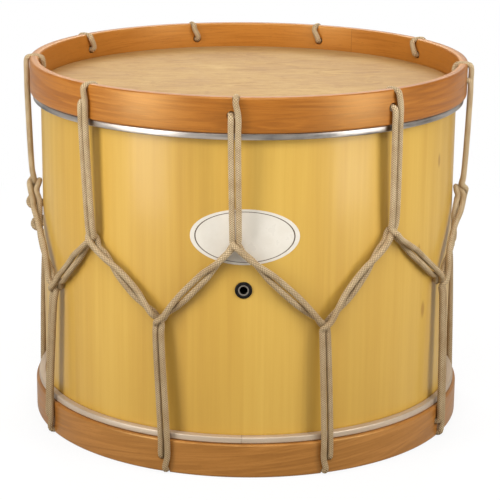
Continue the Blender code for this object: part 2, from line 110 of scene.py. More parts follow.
# Upper stops: notch angle, junction angle, junction height
UPPER_STOPS: list[Station] = [
    (-163.0, -163.0, 0.250),
    (-125.5, -125.5, 0.250),
    (-87.5, -86.5, 0.262),
    (-43.2, -42.4, 0.241),
    (-2.9, -2.8, 0.252),
    (38.4, 38.8, 0.2535),
    (81.5, 81.5, 0.264),
    (122.7, 122.7, 0.250),
    (159.5, 159.5, 0.250),
]

# Lower stops: notch angle, junction angle, junction height, side of the notch that the hole is on
LOWER_STOPS: list[tuple[float, float, float, int]] = [
    (-140.8, -141.5, 0.167, -1),
    (-101.7, -102.3, 0.168, -1),
    (-61.4, -59.8, 0.165, -1),
    (-20.0, -22.0, 0.162, -1),
    (20.1, 19.6, 0.159, 1),
    (61.6, 61.5, 0.174, -1),
    (101.7, 101.7, 0.170, -1),
    (140.8, 140.8, 0.167, -1),
    (178.3, 178.3, 0.167, -1),
]

# The lacing strand in front at a junction and the one behind it, both from the hoop to the arm on
# the other side, and the tension rope drawn up behind them from left to right: sideways, rise
# towards the hoop and distance outwards
FRONT_STRAND: list[Station] = [
    (-0.0032, 0.0090, 0.0012),
    (-0.0031, 0.0022, 0.0002),
    (-0.0022, -0.0010, 0.0022),
    (0.0000, -0.0032, 0.0040),
    (0.0030, -0.0056, 0.0042),
    (0.0070, -0.0098, 0.0034),
]
REAR_STRAND: list[Station] = [
    (0.0032, 0.0090, 0.0008),
    (0.0031, 0.0022, -0.0008),
    (0.0022, -0.0010, -0.0012),
    (0.0000, -0.0034, -0.0016),
    (-0.0030, -0.0058, -0.0002),
    (-0.0070, -0.0098, 0.0024),
]
TENSION_PASS: list[Station] = [
    (-0.0080, -0.0108, -0.0034),
    (-0.0040, -0.0050, -0.0058),
    (0.0000, -0.0016, -0.0066),
    (0.0040, -0.0050, -0.0058),
    (0.0080, -0.0108, -0.0034),
]

# The tension rope's way down an arm: share of the way, and degrees round the arm's line
ARM_TWIST: list[Place] = [(0.14, 182.0), (0.25, 205.0), (0.37, 245.0), (0.50, 265.0), (0.70, 262.0), (0.86, 215.0)]


# ---- hand work on one mesh ----


def tint(red: int, green: int, blue: int) -> Colour:
    """Turn a colour as it is seen on a screen into the linear colour that shaders take.

    Args:
        red: red, 0 to 255.
        green: green, 0 to 255.
        blue: blue, 0 to 255.

    Returns:
        The linear colour with an alpha of 1.
    """
    linear = [
        part / 12.92 if part <= 0.04045 else ((part + 0.055) / 1.055) ** 2.4
        for part in (red / 255, green / 255, blue / 255)
    ]
    return (linear[0], linear[1], linear[2], 1.0)


def at(angle: float, radius: float, height: float) -> Vector:
    """Return the point at an angle in degrees round the drum, a radius and a height."""
    turn = math.radians(angle)
    return Vector((radius * math.sin(turn), -radius * math.cos(turn), height))


def object_mode() -> None:
    """Leave edit mode if it is on."""
    if bpy.context.object and bpy.context.object.mode != "OBJECT":
        bpy.ops.object.mode_set(mode="OBJECT")


def deselect() -> None:
    """Deselect every object, so that the next operator acts on the new piece alone."""
    object_mode()
    bpy.ops.object.select_all(action="DESELECT")


def take(piece: bpy.types.Object) -> None:
    """Select one piece alone and make it the active one."""
    deselect()
    piece.select_set(True)
    bpy.context.view_layer.objects.active = piece


def edit(piece: bpy.types.Object, kind: Pick, wanted: Callable[[Vector, Vector], bool]) -> None:
    """Open a piece in edit mode with some of its elements picked.

    Args:
        piece: the piece to open.
        kind: what is picked.
        wanted: a test of an element's middle and normal; edges give their direction instead.
    """
    take(piece)
    bpy.ops.object.mode_set(mode="EDIT")
    bpy.ops.mesh.select_mode(type=kind.value)
    bpy.ops.mesh.select_all(action="DESELECT")
    bpy.ops.object.mode_set(mode="OBJECT")
    mesh = piece.data
    if kind is Pick.VERTICES:
        for vertex in mesh.vertices:
            vertex.select = wanted(vertex.co, vertex.normal)
    elif kind is Pick.EDGES:
        for edge in mesh.edges:
            one, two = (mesh.vertices[index].co for index in edge.vertices)
            edge.select = wanted((one + two) / 2, (two - one).normalized())
    else:
        for face in mesh.polygons:
            face.select = wanted(face.center, face.normal)
    bpy.ops.object.mode_set(mode="EDIT")


def everything(_middle: Vector, _direction: Vector) -> bool:
    """Pick everything."""
    return True


def named(piece: bpy.types.Object, name: str) -> bpy.types.Object:
    """Name a new object and its mesh."""
    piece.name = name
    piece.data.name = name
    return piece


def settle(piece: bpy.types.Object) -> None:
    """Put a piece's place, turn and scale into its mesh."""
    take(piece)
    bpy.ops.object.transform_apply(location=True, rotation=True, scale=True)


def smooth(piece: bpy.types.Object, angle: float = 38.0) -> None:
    """Shade a piece smooth, with edges steeper than an angle in degrees kept sharp."""
    take(piece)
    bpy.ops.object.shade_smooth_by_angle(angle=math.radians(angle))


def apply(piece: bpy.types.Object, kind: str, **settings: object) -> None:
    """Add a modifier to a piece and apply it.

    Args:
        piece: the piece that is changed.
        kind: Blender's name for the kind of modifier.
        settings: the modifier's own values.
    """
    take(piece)
    modifier = piece.modifiers.new(kind.title(), kind)
    for key, value in settings.items():
        setattr(modifier, key, value)
    bpy.ops.object.modifier_apply(modifier=modifier.name)


def cut(piece: bpy.types.Object, cutter: bpy.types.Object) -> None:
    """Cut one piece out of another and throw the cutter away."""
    apply(piece, "BOOLEAN", operation="DIFFERENCE", solver="EXACT", object=cutter)
    bpy.data.objects.remove(cutter, do_unlink=True)


def join(pieces: Sequence[bpy.types.Object], name: str) -> bpy.types.Object:
    """Join several pieces into one, which takes a new name."""
    take(pieces[0])
    for piece in pieces[1:]:
        piece.select_set(True)
    bpy.ops.object.join()
    return named(bpy.context.object, name)


def upright_section(name: str, inner: float, outer: float, low: float, high: float) -> bpy.types.Object:
    """Stand a rectangle on the +X side of the drum, as the section that a ring is spun from.

    Args:
        name: the piece's name.
        inner: radius of its inner side.
        outer: radius of its outer side.
        low: height of its lower side.
        high: height of its upper side.

    Returns:
        The rectangle.
    """
    deselect()
    middle = ((inner + outer) / 2, 0.0, (low + high) / 2)
    bpy.ops.mesh.primitive_plane_add(size=1.0, location=middle, rotation=(math.pi / 2, 0.0, 0.0))
    section = named(bpy.context.object, name)
    section.scale = (outer - inner, high - low, 1.0)
    settle(section)
    return section


def round_corners(
    section: bpy.types.Object, wanted: Callable[[Vector, Vector], bool], width: float, segments: int
) -> None:
    """Round the picked corners of a section.

    Args:
        section: the flat section.
        wanted: a test of a corner's place.
        width: how far the rounding reaches along each side.
        segments: edges along the rounding; 1 makes a plain chamfer.
    """
    edit(section, Pick.VERTICES, wanted)
    bpy.ops.mesh.bevel(affect="VERTICES", offset_type="OFFSET", offset=width, segments=segments)
    object_mode()


def spin_ring(section: bpy.types.Object, steps: int, seam: float = 90.0, gap: float = 0.0) -> None:
    """Spin a section round the drum's axis into a ring.

    Args:
        section: the flat section on the +X side.
        steps: faces round the ring.
        seam: angle in degrees where the spin starts and where a gap is left.
        gap: width of the gap as an angle in radians; 0 closes the ring.
    """
    take(section)
    section.rotation_euler[2] = math.radians(seam - 90.0) + gap / 2
    settle(section)
    edit(section, Pick.FACES, everything)
    bpy.ops.mesh.delete(type="ONLY_FACE")
    bpy.ops.mesh.select_mode(type="VERT")
    bpy.ops.mesh.select_all(action="SELECT")
    bpy.ops.mesh.spin(steps=steps, angle=math.tau - gap, center=(0.0, 0.0, 0.0), axis=(0.0, 0.0, 1.0))
    bpy.ops.mesh.select_all(action="SELECT")
    if gap:
        bpy.ops.mesh.fill_holes(sides=0)
        bpy.ops.mesh.select_all(action="SELECT")
    else:
        bpy.ops.mesh.remove_doubles(threshold=0.00002)
    bpy.ops.mesh.normals_make_consistent(inside=False)
    object_mode()


def grow(radius: float, height: float, from_radius: float, from_height: float) -> None:
    """Extrude the picked loop of a turned piece to its next radius and height."""
    rise = (0.0, 0.0, height - from_height)
    bpy.ops.mesh.extrude_region_move(TRANSFORM_OT_translate={"value": rise})
    share = radius / from_radius
    bpy.ops.transform.resize(value=(share, share, 1.0), center_override=(0.0, 0.0, height))


def turn_up(name: str, profile: Sequence[tuple[float, float]], segments: int, open_bore: bool) -> bpy.types.Object:
    """Turn a piece by drawing a circle up through the radii and heights of its profile.

    Args:
        name: the piece's name.
        profile: (radius, height) places, the first one the circle that it starts from.
        segments: faces round the piece.
        open_bore: True joins the last loop to the first, and False closes both ends.

    Returns:
        The turned piece, round the Z axis.
    """
    deselect()
    radius, height = profile[0]
    bpy.ops.mesh.primitive_circle_add(vertices=segments, radius=radius, location=(0.0, 0.0, height))
    piece = named(bpy.context.object, name)
    settle(piece)
    edit(piece, Pick.EDGES, everything)
    for next_radius, next_height in profile[1:]:
        grow(next_radius, next_height, radius, height)
        radius, height = next_radius, next_height
    bpy.ops.mesh.select_all(action="DESELECT")
    bpy.ops.mesh.select_non_manifold()
    if open_bore:
        bpy.ops.mesh.bridge_edge_loops()
    else:
        bpy.ops.mesh.fill_holes(sides=0)
    bpy.ops.mesh.select_all(action="SELECT")
    bpy.ops.mesh.normals_make_consistent(inside=False)
    object_mode()
    return piece


def set_outwards(piece: bpy.types.Object, angle: float, radius: float, height: float) -> None:
    """Lay a piece that was turned round +Z down, so that it points out of the drum."""
    turn = Matrix.Rotation(math.radians(angle), 4, "Z") @ Matrix.Rotation(math.pi / 2, 4, "X")
    piece.matrix_world = Matrix.Translation(at(angle, radius, height)) @ turn
    settle(piece)


def wrap_uv(piece: bpy.types.Object, radius: float, seam: float) -> None:
    """Give a ring a UV map in metres: along the ring from its seam, and across it.

    Args:
        piece: a ring round the drum's axis.
        radius: the radius whose length is kept.
        seam: angle in degrees where the map starts.
    """
    mesh = piece.data
    while mesh.uv_layers:
        mesh.uv_layers.remove(mesh.uv_layers[0])
    layer = mesh.uv_layers.new(name="around")
    places = np.empty(len(mesh.vertices) * 3)
    mesh.vertices.foreach_get("co", places)
    places = places.reshape(-1, 3)
    corners = np.empty(len(mesh.loops), int)
    mesh.loops.foreach_get("vertex_index", corners)
    middles = np.empty(len(mesh.polygons) * 3)
    mesh.polygons.foreach_get("center", middles)
    middles = middles.reshape(-1, 3)
    totals = np.empty(len(mesh.polygons), int)
    mesh.polygons.foreach_get("loop_total", totals)
    start = math.radians(seam)
    turns = (np.arctan2(places[:, 0], -places[:, 1]) - start) % math.tau
    homes = np.repeat((np.arctan2(middles[:, 0], -middles[:, 1]) - start) % math.tau, totals)
    along = homes + (turns[corners] - homes + math.pi) % math.tau - math.pi
    across = places[:, 2] + np.hypot(places[:, 0], places[:, 1]) - radius
    layer.data.foreach_set("uv", np.column_stack([along * radius, across[corners]]).ravel())


# ---- materials ----


class Recipe:
    """Lays down the nodes of one material."""

    def __init__(self, name: str) -> None:
        """Start a material with its Principled shader."""
        self.material = bpy.data.materials.new(name)
        self.material.use_nodes = True
        self.tree = self.material.node_tree
        self.shader = self.tree.nodes["Principled BSDF"]

    def node(self, kind: str, inputs: dict[object, object] | None = None, **settings: object) -> bpy.types.Node:
        """Add a node.

        Args:
            kind: the node's kind without its ShaderNode prefix.
            inputs: its inputs by name or number, each a value or another node's output.
            settings: its own properties.

        Returns:
            The node.
        """
        made = self.tree.nodes.new("ShaderNode" + kind)
        for key, value in settings.items():
            setattr(made, key, value)
        for key, value in (inputs or {}).items():
            self.feed(made.inputs[key], value)
        return made

    def feed(self, socket: bpy.types.NodeSocket, value: object) -> None:
        """Set an input to a value or link an output to it."""
        if isinstance(value, bpy.types.NodeSocket):
            self.tree.links.new(value, socket)
        else:
            socket.default_value = value

    def space(self, scale: Station = (1.0, 1.0, 1.0), turn: Station = (0.0, 0.0, 0.0), uv: str = "") -> object:
        """Return pattern coordinates: the object's own, or its UV map's where one is named."""
        if uv:
            source = self.node("UVMap", uv_map=uv).outputs["UV"]
        else:
            source = self.node("TexCoord").outputs["Object"]
        mapping = self.node("Mapping", {"Vector": source, "Scale": scale, "Rotation": turn})
        return mapping.outputs["Vector"]

    def noise(self, where: object, scale: float, detail: float = 3.0, rough: float = 0.5, bend: float = 0.0) -> object:
        """Return a noise value at a scale, with its detail, roughness and distortion."""
        inputs = {"Vector": where, "Scale": scale, "Detail": detail, "Roughness": rough, "Distortion": bend}
        return self.node("TexNoise", inputs).outputs["Fac"]

    def maths(self, operation: str, first: object, second: object = 0.0, third: object = 0.0) -> object:
        """Return the result of one operation on numbers."""
        return self.node("Math", {0: first, 1: second, 2: third}, operation=operation).outputs[0]

    def remap(self, value: object, low: float, high: float, to_low: float = 0.0, to_high: float = 1.0) -> object:
        """Return a value moved from one range to another, held inside it and eased at both ends."""
        inputs = {"Value": value, "From Min": low, "From Max": high, "To Min": to_low, "To Max": to_high}
        return self.node("MapRange", inputs, interpolation_type="SMOOTHSTEP").outputs["Result"]

    def mix(self, amount: object, first: object, second: object, mode: str = "MIX") -> object:
        """Return two colours mixed by an amount."""
        made = self.node("Mix", {0: amount, 6: first, 7: second}, data_type="RGBA", blend_type=mode)
        return made.outputs[2]

    def ramp(self, value: object, stops: Sequence[tuple[float, Colour]]) -> object:
        """Return a colour ramp's colour at a value."""
        made = self.node("ValToRGB", {"Fac": value})
        elements = made.color_ramp.elements
        elements[0].position, elements[0].color = stops[0]
        elements[1].position, elements[1].color = stops[-1]
        for place, colour in stops[1:-1]:
            elements.new(place).color = colour
        return made.outputs["Color"]

    def relief(self, height: object, distance: float, strength: float = 1.0, under: object = None) -> object:
        """Return the normal of a height in the range 0 to 1 that stands a distance in metres high."""
        inputs = {"Height": height, "Distance": distance, "Strength": strength}
        if under is not None:
            inputs["Normal"] = under
        return self.node("Bump", inputs).outputs["Normal"]

    def dress(self, **inputs: object) -> bpy.types.Material:
        """Feed the shader's inputs, their names with _ for spaces, and return the material."""
        for key, value in inputs.items():
            self.feed(self.shader.inputs[key.replace("_", " ")], value)
        return self.material


@dataclass(frozen=True)
class ShellLacquer:
    """Pale wood with an upright grain under clear yellow lacquer."""

    pale: Colour = tint(214, 175, 84)
    middle: Colour = tint(201, 159, 70)
    deep: Colour = tint(186, 142, 58)
    gleam: Colour = (1.0, 0.95, 0.72, 1.0)
    knot: Colour = tint(142, 96, 44)
    seam: float = 168.0

    def lay(self) -> bpy.types.Material:
        """Return the material."""
        recipe = Recipe("shell_lacquer")
        boards = recipe.noise(recipe.space((1.0, 1.0, 0.05)), 9.0, 3.0, 0.55)
        streaks = recipe.noise(recipe.space((1.0, 1.0, 0.022)), 95.0, 6.0, 0.65)
        pores = recipe.noise(recipe.space((1.0, 1.0, 0.03)), 620.0, 3.0, 0.6)
        clouds = recipe.noise(recipe.space((1.0, 1.0, 0.6)), 5.0, 2.0, 0.5)
        tone = recipe.maths("MULTIPLY_ADD", streaks, 0.42, recipe.maths("MULTIPLY", boards, 0.58))
        tone = recipe.maths("MULTIPLY_ADD", clouds, 0.25, recipe.maths("SUBTRACT", tone, 0.125))
        colour = recipe.ramp(tone, [(0.28, self.deep), (0.5, self.middle), (0.70, self.pale)])
        lines = recipe.remap(pores, 0.60, 0.78, 0.0, 0.22)
        colour = recipe.mix(lines, colour, tint(190, 142, 66))
        for place, size, slant in self.knots():
            colour = recipe.mix(self.spot(recipe, place, size, slant), colour, self.knot)
        colour = recipe.mix(self.seam_line(recipe), colour, tint(120, 80, 36))
        smudges = recipe.noise(recipe.space(), 14.0, 4.0, 0.6)
        rough = recipe.remap(smudges, 0.3, 0.7, 0.40, 0.50)
        grain = recipe.maths("ADD", streaks, recipe.maths("MULTIPLY", pores, -0.5))
        bump = recipe.relief(grain, 0.00005)
        recipe.dress(Base_Color=colour, Roughness=rough, Normal=bump, Specular_Tint=self.gleam)
        return recipe.dress(Coat_Weight=0.20, Coat_Roughness=0.18, Specular_IOR_Level=0.5, IOR=1.45)

    def knots(self) -> list[tuple[Vector, float, float]]:
        """Return the pin knots as (place, size, slant)."""
        radius = SIZES.shell_radius
        return [
            (at(62.5, radius, 0.308), 0.0028, 0.0),
            (at(52.5, radius, 0.219), 0.0022, 0.0),
            (at(55.5, radius, 0.150), 0.0034, -0.35),
            (at(-118.0, radius, 0.270), 0.0030, 0.0),
            (at(140.0, radius, 0.140), 0.0026, 0.2),
        ]

    def spot(self, recipe: Recipe, place: Vector, size: float, slant: float) -> object:
        """Return how strongly one knot colours the wood: a small oval with soft edges."""
        stretch = (1.0, 1.0, 0.42)
        inputs = {"Vector": recipe.node("TexCoord").outputs["Object"], "Location": tuple(-place)}
        moved = recipe.node("Mapping", inputs, vector_type="POINT").outputs["Vector"]
        shaped = recipe.node("Mapping", {"Vector": moved, "Rotation": (slant, 0.0, 0.0), "Scale": stretch})
        far = recipe.node("VectorMath", {0: shaped.outputs["Vector"]}, operation="LENGTH").outputs["Value"]
        return recipe.remap(far, size * 0.4, size * 1.6, 0.55, 0.0)

    def seam_line(self, recipe: Recipe) -> object:
        """Return the thin dark line where the ply's ends overlap behind the drum."""
        along = recipe.node("SeparateXYZ", {0: recipe.space(uv="around")}).outputs[0]
        return recipe.remap(along, 0.0003, 0.0009, 0.75, 0.0)


@dataclass(frozen=True)
class HoopVarnish:
    """Orange-brown varnished wood whose grain runs along the hoop."""

    pale: Colour = tint(184, 116, 43)
    middle: Colour = tint(158, 91, 26)
    deep: Colour = tint(134, 73, 19)
    gleam: Colour = (1.0, 0.68, 0.28, 1.0)
    slope: float = 0.012
    shift: float = 0.0

    def lay(self) -> bpy.types.Material:
        """Return the material."""
        recipe = Recipe("hoop_varnish")
        source = recipe.node("UVMap", uv_map="around").outputs["UV"]
        inputs = {"Vector": source, "Location": (self.shift, 0.0, 0.0), "Rotation": (0.0, 0.0, self.slope)}
        wood = recipe.node("Mapping", inputs).outputs["Vector"]
        bands = self.stretched(recipe, wood, (3.2, 52.0))
        fibres = self.stretched(recipe, wood, (14.0, 420.0))
        flecks = self.stretched(recipe, wood, (120.0, 1500.0))
        figure = recipe.noise(bands, 1.0, 4.0, 0.6, 0.8)
        rings = recipe.maths("SINE", recipe.maths("MULTIPLY", figure, 34.0))
        rings = recipe.maths("MULTIPLY_ADD", rings, 0.5, 0.5)
        fine = recipe.noise(fibres, 1.0, 5.0, 0.62)
        dashes = recipe.noise(flecks, 1.0, 1.0, 0.5)
        planks = recipe.noise(self.stretched(recipe, wood, (2.4, 6.0)), 1.0, 2.0)
        tone = recipe.maths("MULTIPLY_ADD", fine, 0.46, recipe.maths("MULTIPLY", rings, 0.13))
        tone = recipe.maths("MULTIPLY_ADD", planks, 0.47, tone)
        tone = recipe.maths("ADD", tone, self.inner_face(recipe))
        colour = recipe.ramp(tone, [(0.32, self.deep), (0.52, self.middle), (0.72, self.pale)])
        colour = recipe.mix(recipe.remap(dashes, 0.62, 0.72, 0.0, 0.35), colour, tint(112, 60, 20))
        colour = recipe.mix(self.joint(recipe), colour, tint(92, 48, 20))
        rough = recipe.remap(fine, 0.3, 0.7, 0.32, 0.44)
        bump = recipe.relief(recipe.maths("SUBTRACT", fine, dashes), 0.00006)
        recipe.dress(Base_Color=colour, Roughness=rough, Normal=bump, Specular_Tint=self.gleam)
        return recipe.dress(Specular_IOR_Level=1.0, IOR=1.60)

    def stretched(self, recipe: Recipe, wood: object, scale: tuple[float, float]) -> object:
        """Return wood coordinates scaled along and across the hoop."""
        return recipe.node("Mapping", {"Vector": wood, "Scale": (*scale, 1.0)}).outputs["Vector"]

    def inner_face(self, recipe: Recipe) -> object:
        """Return how much paler the wood is on the hoop's inner side, which the light reached less."""
        far = recipe.node("VectorMath", {0: recipe.space((1.0, 1.0, 0.0))}, operation="LENGTH").outputs["Value"]
        return recipe.remap(far, SIZES.hoop_inside + 0.001, SIZES.hoop_inside + 0.005, 0.20, 0.0)

    def joint(self, recipe: Recipe) -> object:
        """Return the thin glue line where the bent strip meets itself."""
        along = recipe.node("SeparateXYZ", {0: recipe.space(uv="around")}).outputs[0]
        return recipe.remap(along, 0.0002, 0.0008, 0.65, 0.0)


@dataclass(frozen=True)
class RawhideSkin:
    """Dry scraped rawhide with faint streaks, pores and cloudy patches."""

    pale: Colour = tint(204, 170, 114)
    middle: Colour = tint(188, 150, 94)
    deep: Colour = tint(168, 128, 75)
    vein: Colour = tint(146, 102, 56)

    def lay(self) -> bpy.types.Material:
        """Return the material."""
        recipe = Recipe("rawhide")
        clouds = recipe.noise(recipe.space((1.0, 1.6, 1.0)), 9.0, 4.0, 0.55, 0.4)
        streaks = recipe.noise(recipe.space((1.0, 4.0, 1.0), (0.0, 0.0, 0.3)), 44.0, 6.0, 0.68, 0.4)
        hairs = recipe.noise(recipe.space((1.0, 5.0, 1.0)), 260.0, 3.0, 0.6)
        pores = recipe.noise(recipe.space(), 1100.0, 2.0, 0.5)
        tone = recipe.maths("MULTIPLY_ADD", streaks, 0.45, recipe.maths("MULTIPLY", clouds, 0.55))
        colour = recipe.ramp(tone, [(0.30, self.deep), (0.5, self.middle), (0.68, self.pale)])
        colour = recipe.mix(recipe.remap(hairs, 0.56, 0.72, 0.0, 0.40), colour, self.vein)
        patches = recipe.noise(recipe.space((1.0, 2.2, 1.0), (0.0, 0.0, -0.5)), 17.0, 7.0, 0.7, 1.2)
        colour = recipe.mix(recipe.remap(patches, 0.50, 0.64, 0.0, 0.34), colour, self.vein)
        # painted shade towards the rim, in the vein colour
        colour = recipe.mix(self.painted_rim_shade(recipe, clouds), colour, self.vein)
        rough = recipe.remap(clouds, 0.35, 0.65, 0.46, 0.60)
        under = recipe.relief(streaks, 0.00025)
        bump = recipe.relief(recipe.maths("ADD", hairs, pores), 0.00006, under=under)
        return recipe.dress(Base_Color=colour, Roughness=rough, Normal=bump, Specular_IOR_Level=0.08)

    def painted_rim_shade(self, recipe: Recipe, clouds: object) -> object:
        """Return how much the skin darkens towards its rim, as painted shade."""
        place = recipe.space((1.0, 1.0, 0.0))
        far = recipe.node("VectorMath", {0: place}, operation="LENGTH").outputs["Value"]
        uneven = recipe.maths("MULTIPLY_ADD", clouds, 0.05, far)
        return recipe.remap(uneven, 0.205, 0.256, 0.0, 0.42)


@dataclass(frozen=True)
class RingMetal:
    """The flesh ring's metal, drawn along its length, bright or satin, with stains and painted reflections along it.
    """

    polish: Polish

    def lay(self) -> bpy.types.Material:
        """Return the material."""
        bright = self.polish is Polish.BRIGHT
        recipe = Recipe(f"ring_{self.polish.value}")
        drawn = recipe.noise(recipe.space((9.0, 600.0, 1.0), uv="around"), 1.0, 4.0, 0.6)
        stains = recipe.noise(recipe.space(), 38.0, 4.0, 0.6)
        # long dark and bright stretches along the ring: painted reflections of the surroundings, mixed with real
        # stains
        reflection_stretches = recipe.noise(recipe.space((7.0, 90.0, 1.0), uv="around"), 1.0, 3.0, 0.6)
        tone = recipe.maths("MULTIPLY_ADD", reflection_stretches, 0.8, recipe.maths("MULTIPLY", stains, 0.2))
        base = recipe.ramp(tone, [(0.36, tint(98, 96, 94)), (0.48, tint(178, 170, 162)), (0.60, tint(214, 204, 194))])
        if not bright:
            base = recipe.ramp(tone, [(0.35, tint(186, 166, 142)), (0.65, tint(206, 188, 166))])
        low, high = (0.29, 0.38) if bright else (0.42, 0.54)
        rough = recipe.remap(tone, 0.3, 0.7, low, high)
        bump = recipe.relief(drawn, 0.00001)
        return recipe.dress(Base_Color=base, Roughness=rough, Metallic=1.0 if bright else 0.5, Normal=bump)


@dataclass(frozen=True)
class VentEnamel:
    """Black enamel of the vent's eyelet, with a painted grey highlight on the lip round its bore."""

    # inner and outer radius of the painted highlight on the lip
    lip: tuple[float, float] = (0.0042, 0.0057)

    def lay(self) -> bpy.types.Material:
        """Return the material."""
        recipe = Recipe("vent_enamel")
        specks = recipe.noise(recipe.space(), 900.0, 3.0, 0.6)
        rubs = recipe.noise(recipe.space(), 240.0, 5.0, 0.7)
        colour = recipe.ramp(rubs, [(0.4, tint(15, 13, 12)), (0.72, tint(34, 30, 28))])
        far = recipe.node("VectorMath", {0: self.from_axis(recipe)}, operation="LENGTH").outputs["Value"]
        # painted highlight: a lighter grey ring on the lip round the bore
        inner = recipe.remap(far, self.lip[0] - 0.0002, self.lip[0])
        lip = recipe.maths("MULTIPLY", inner, recipe.remap(far, self.lip[1] - 0.0003, self.lip[1], 1.0, 0.0))
        colour = recipe.mix(recipe.maths("MULTIPLY", lip, 0.85), colour, tint(126, 118, 108))
        rough = recipe.remap(specks, 0.3, 0.7, 0.36, 0.50)
        bump = recipe.relief(specks, 0.00003)
        return recipe.dress(Base_Color=colour, Roughness=rough, Normal=bump, Specular_IOR_Level=0.1)

    def from_axis(self, recipe: Recipe) -> object:
        """Return the way from the vent's axis, which points out of the drum's front."""
        centre = at(Vent.angle, SIZES.shell_radius, Vent.height)
        inputs = {"Vector": recipe.space(), "Location": (-centre.x, 0.0, -centre.z), "Scale": (1.0, 0.0, 1.0)}
        return recipe.node("Mapping", inputs).outputs["Vector"]


@dataclass(frozen=True)
class WasherSteel:
    """Plain steel of the washer inside the shell."""

    def lay(self) -> bpy.types.Material:
        """Return the material."""
        recipe = Recipe("washer_steel")
        wear = recipe.noise(recipe.space(), 420.0, 4.0, 0.6)
        colour = recipe.ramp(wear, [(0.35, tint(150, 148, 144)), (0.7, tint(204, 202, 198))])
        rough = recipe.remap(wear, 0.3, 0.7, 0.30, 0.48)
        return recipe.dress(Base_Color=colour, Roughness=rough, Metallic=1.0, Normal=recipe.relief(wear, 0.00002))


@dataclass(frozen=True)
class BarePly:
    """Unfinished ply of the stiffening strips."""

    def lay(self) -> bpy.types.Material:
        """Return the material."""
        recipe = Recipe("bare_ply")
        wood = recipe.space((6.0, 260.0, 1.0), uv="around")
        fibres = recipe.noise(wood, 1.0, 5.0, 0.6, 0.3)
        colour = recipe.ramp(fibres, [(0.3, tint(186, 148, 98)), (0.7, tint(222, 190, 142))])
        return recipe.dress(Base_Color=colour, Roughness=0.72, Normal=recipe.relief(fibres, 0.00012))


@dataclass(frozen=True)
class PlateEnamel:
    """Plain ivory enamel of the blank plate, with a thin drawn border."""

    ivory: Colour = tint(226, 219, 206)
    border: Colour = tint(92, 74, 58)

    def lay(self) -> bpy.types.Material:
        """Return the material."""
        recipe = Recipe("plate_enamel")
        cloud = recipe.noise(recipe.space(), 60.0, 3.0, 0.6)
        colour = recipe.mix(recipe.remap(cloud, 0.35, 0.7, 0.0, 0.25), self.ivory, tint(206, 196, 178))
        inwards = recipe.node("SeparateXYZ", {0: recipe.space(uv="oval")}).outputs[0]
        line = recipe.maths("COMPARE", inwards, 0.905, 0.012)
        colour = recipe.mix(line, colour, self.border)
        rough = recipe.remap(cloud, 0.3, 0.7, 0.26, 0.36)
        return recipe.dress(Base_Color=colour, Roughness=rough, Normal=recipe.relief(cloud, 0.00002), Coat_Weight=0.3)


@dataclass(frozen=True)
class BraidedCord:
    """Natural beige cord: yarns plaited over and under each other, with painted shade in its crevices and towards the
    floor.
    """

    yarn: Colour = tint(220, 196, 156)
    worn: Colour = tint(197, 169, 128)
    crevice_shade: Colour = tint(109, 83, 52)
    low_shade: Colour = tint(146, 118, 80)
    yarns_each_way: float = 6.0

    def lay(self) -> bpy.types.Material:
        """Return the material."""
        recipe = Recipe("braided_cord")
        split = recipe.node("SeparateXYZ", {0: recipe.space(uv="braid")})
        round_it = recipe.maths("MULTIPLY", split.outputs[0], self.yarns_each_way)
        leaning_right = recipe.maths("ADD", round_it, split.outputs[1])
        leaning_left = recipe.maths("SUBTRACT", round_it, split.outputs[1])
        tiles = recipe.maths("ADD", recipe.maths("FLOOR", leaning_right), recipe.maths("FLOOR", leaning_left))
        over = recipe.maths("GREATER_THAN", recipe.maths("FRACT", recipe.maths("MULTIPLY", tiles, 0.5)), 0.25)
        one, two = recipe.maths("FRACT", leaning_right), recipe.maths("FRACT", leaning_left)
        across = recipe.node("Mix", {0: over, 2: one, 3: two}, data_type="FLOAT").outputs[0]
        along = recipe.node("Mix", {0: over, 2: two, 3: one}, data_type="FLOAT").outputs[0]
        height = recipe.maths("MULTIPLY", self.hump(recipe, across, 2.0), self.hump(recipe, along, 4.0))
        fibres = recipe.maths("SINE", recipe.maths("MULTIPLY", across, 28.0))
        height = recipe.maths("MULTIPLY_ADD", fibres, 0.07, height)
        fuzz = recipe.noise(recipe.space(), 1500.0, 2.0, 0.6)
        tone = recipe.noise(recipe.space(), 55.0, 4.0, 0.6)
        colour = recipe.mix(recipe.remap(tone, 0.35, 0.7), self.yarn, self.worn)
        level = recipe.node("SeparateXYZ", {0: recipe.space()}).outputs[2]
        # painted shade: darker towards the floor, where less light reaches
        colour = recipe.mix(recipe.remap(level, 0.13, 0.29, 0.44, 0.0), colour, self.low_shade)
        # painted shade in the crevices between the yarns
        colour = recipe.mix(recipe.remap(height, 0.10, 0.80, 0.90, 0.0), colour, self.crevice_shade)
        colour = recipe.mix(recipe.remap(fuzz, 0.5, 0.75, 0.0, 0.25), colour, tint(236, 222, 192))
        bump = recipe.relief(recipe.maths("MULTIPLY_ADD", fuzz, 0.18, height), 0.00032)
        return recipe.dress(Base_Color=colour, Roughness=0.86, Normal=bump, Specular_IOR_Level=0.25)

    def hump(self, recipe: Recipe, share: object, power: float) -> object:
        """Return a hump that is 1 in the middle of a yarn's share and 0 at both ends."""
        centred = recipe.maths("ABSOLUTE", recipe.maths("MULTIPLY_ADD", share, 2.0, -1.0))
        return recipe.maths("SUBTRACT", 1.0, recipe.maths("POWER", centred, power))


# ---- sub-assemblies ----


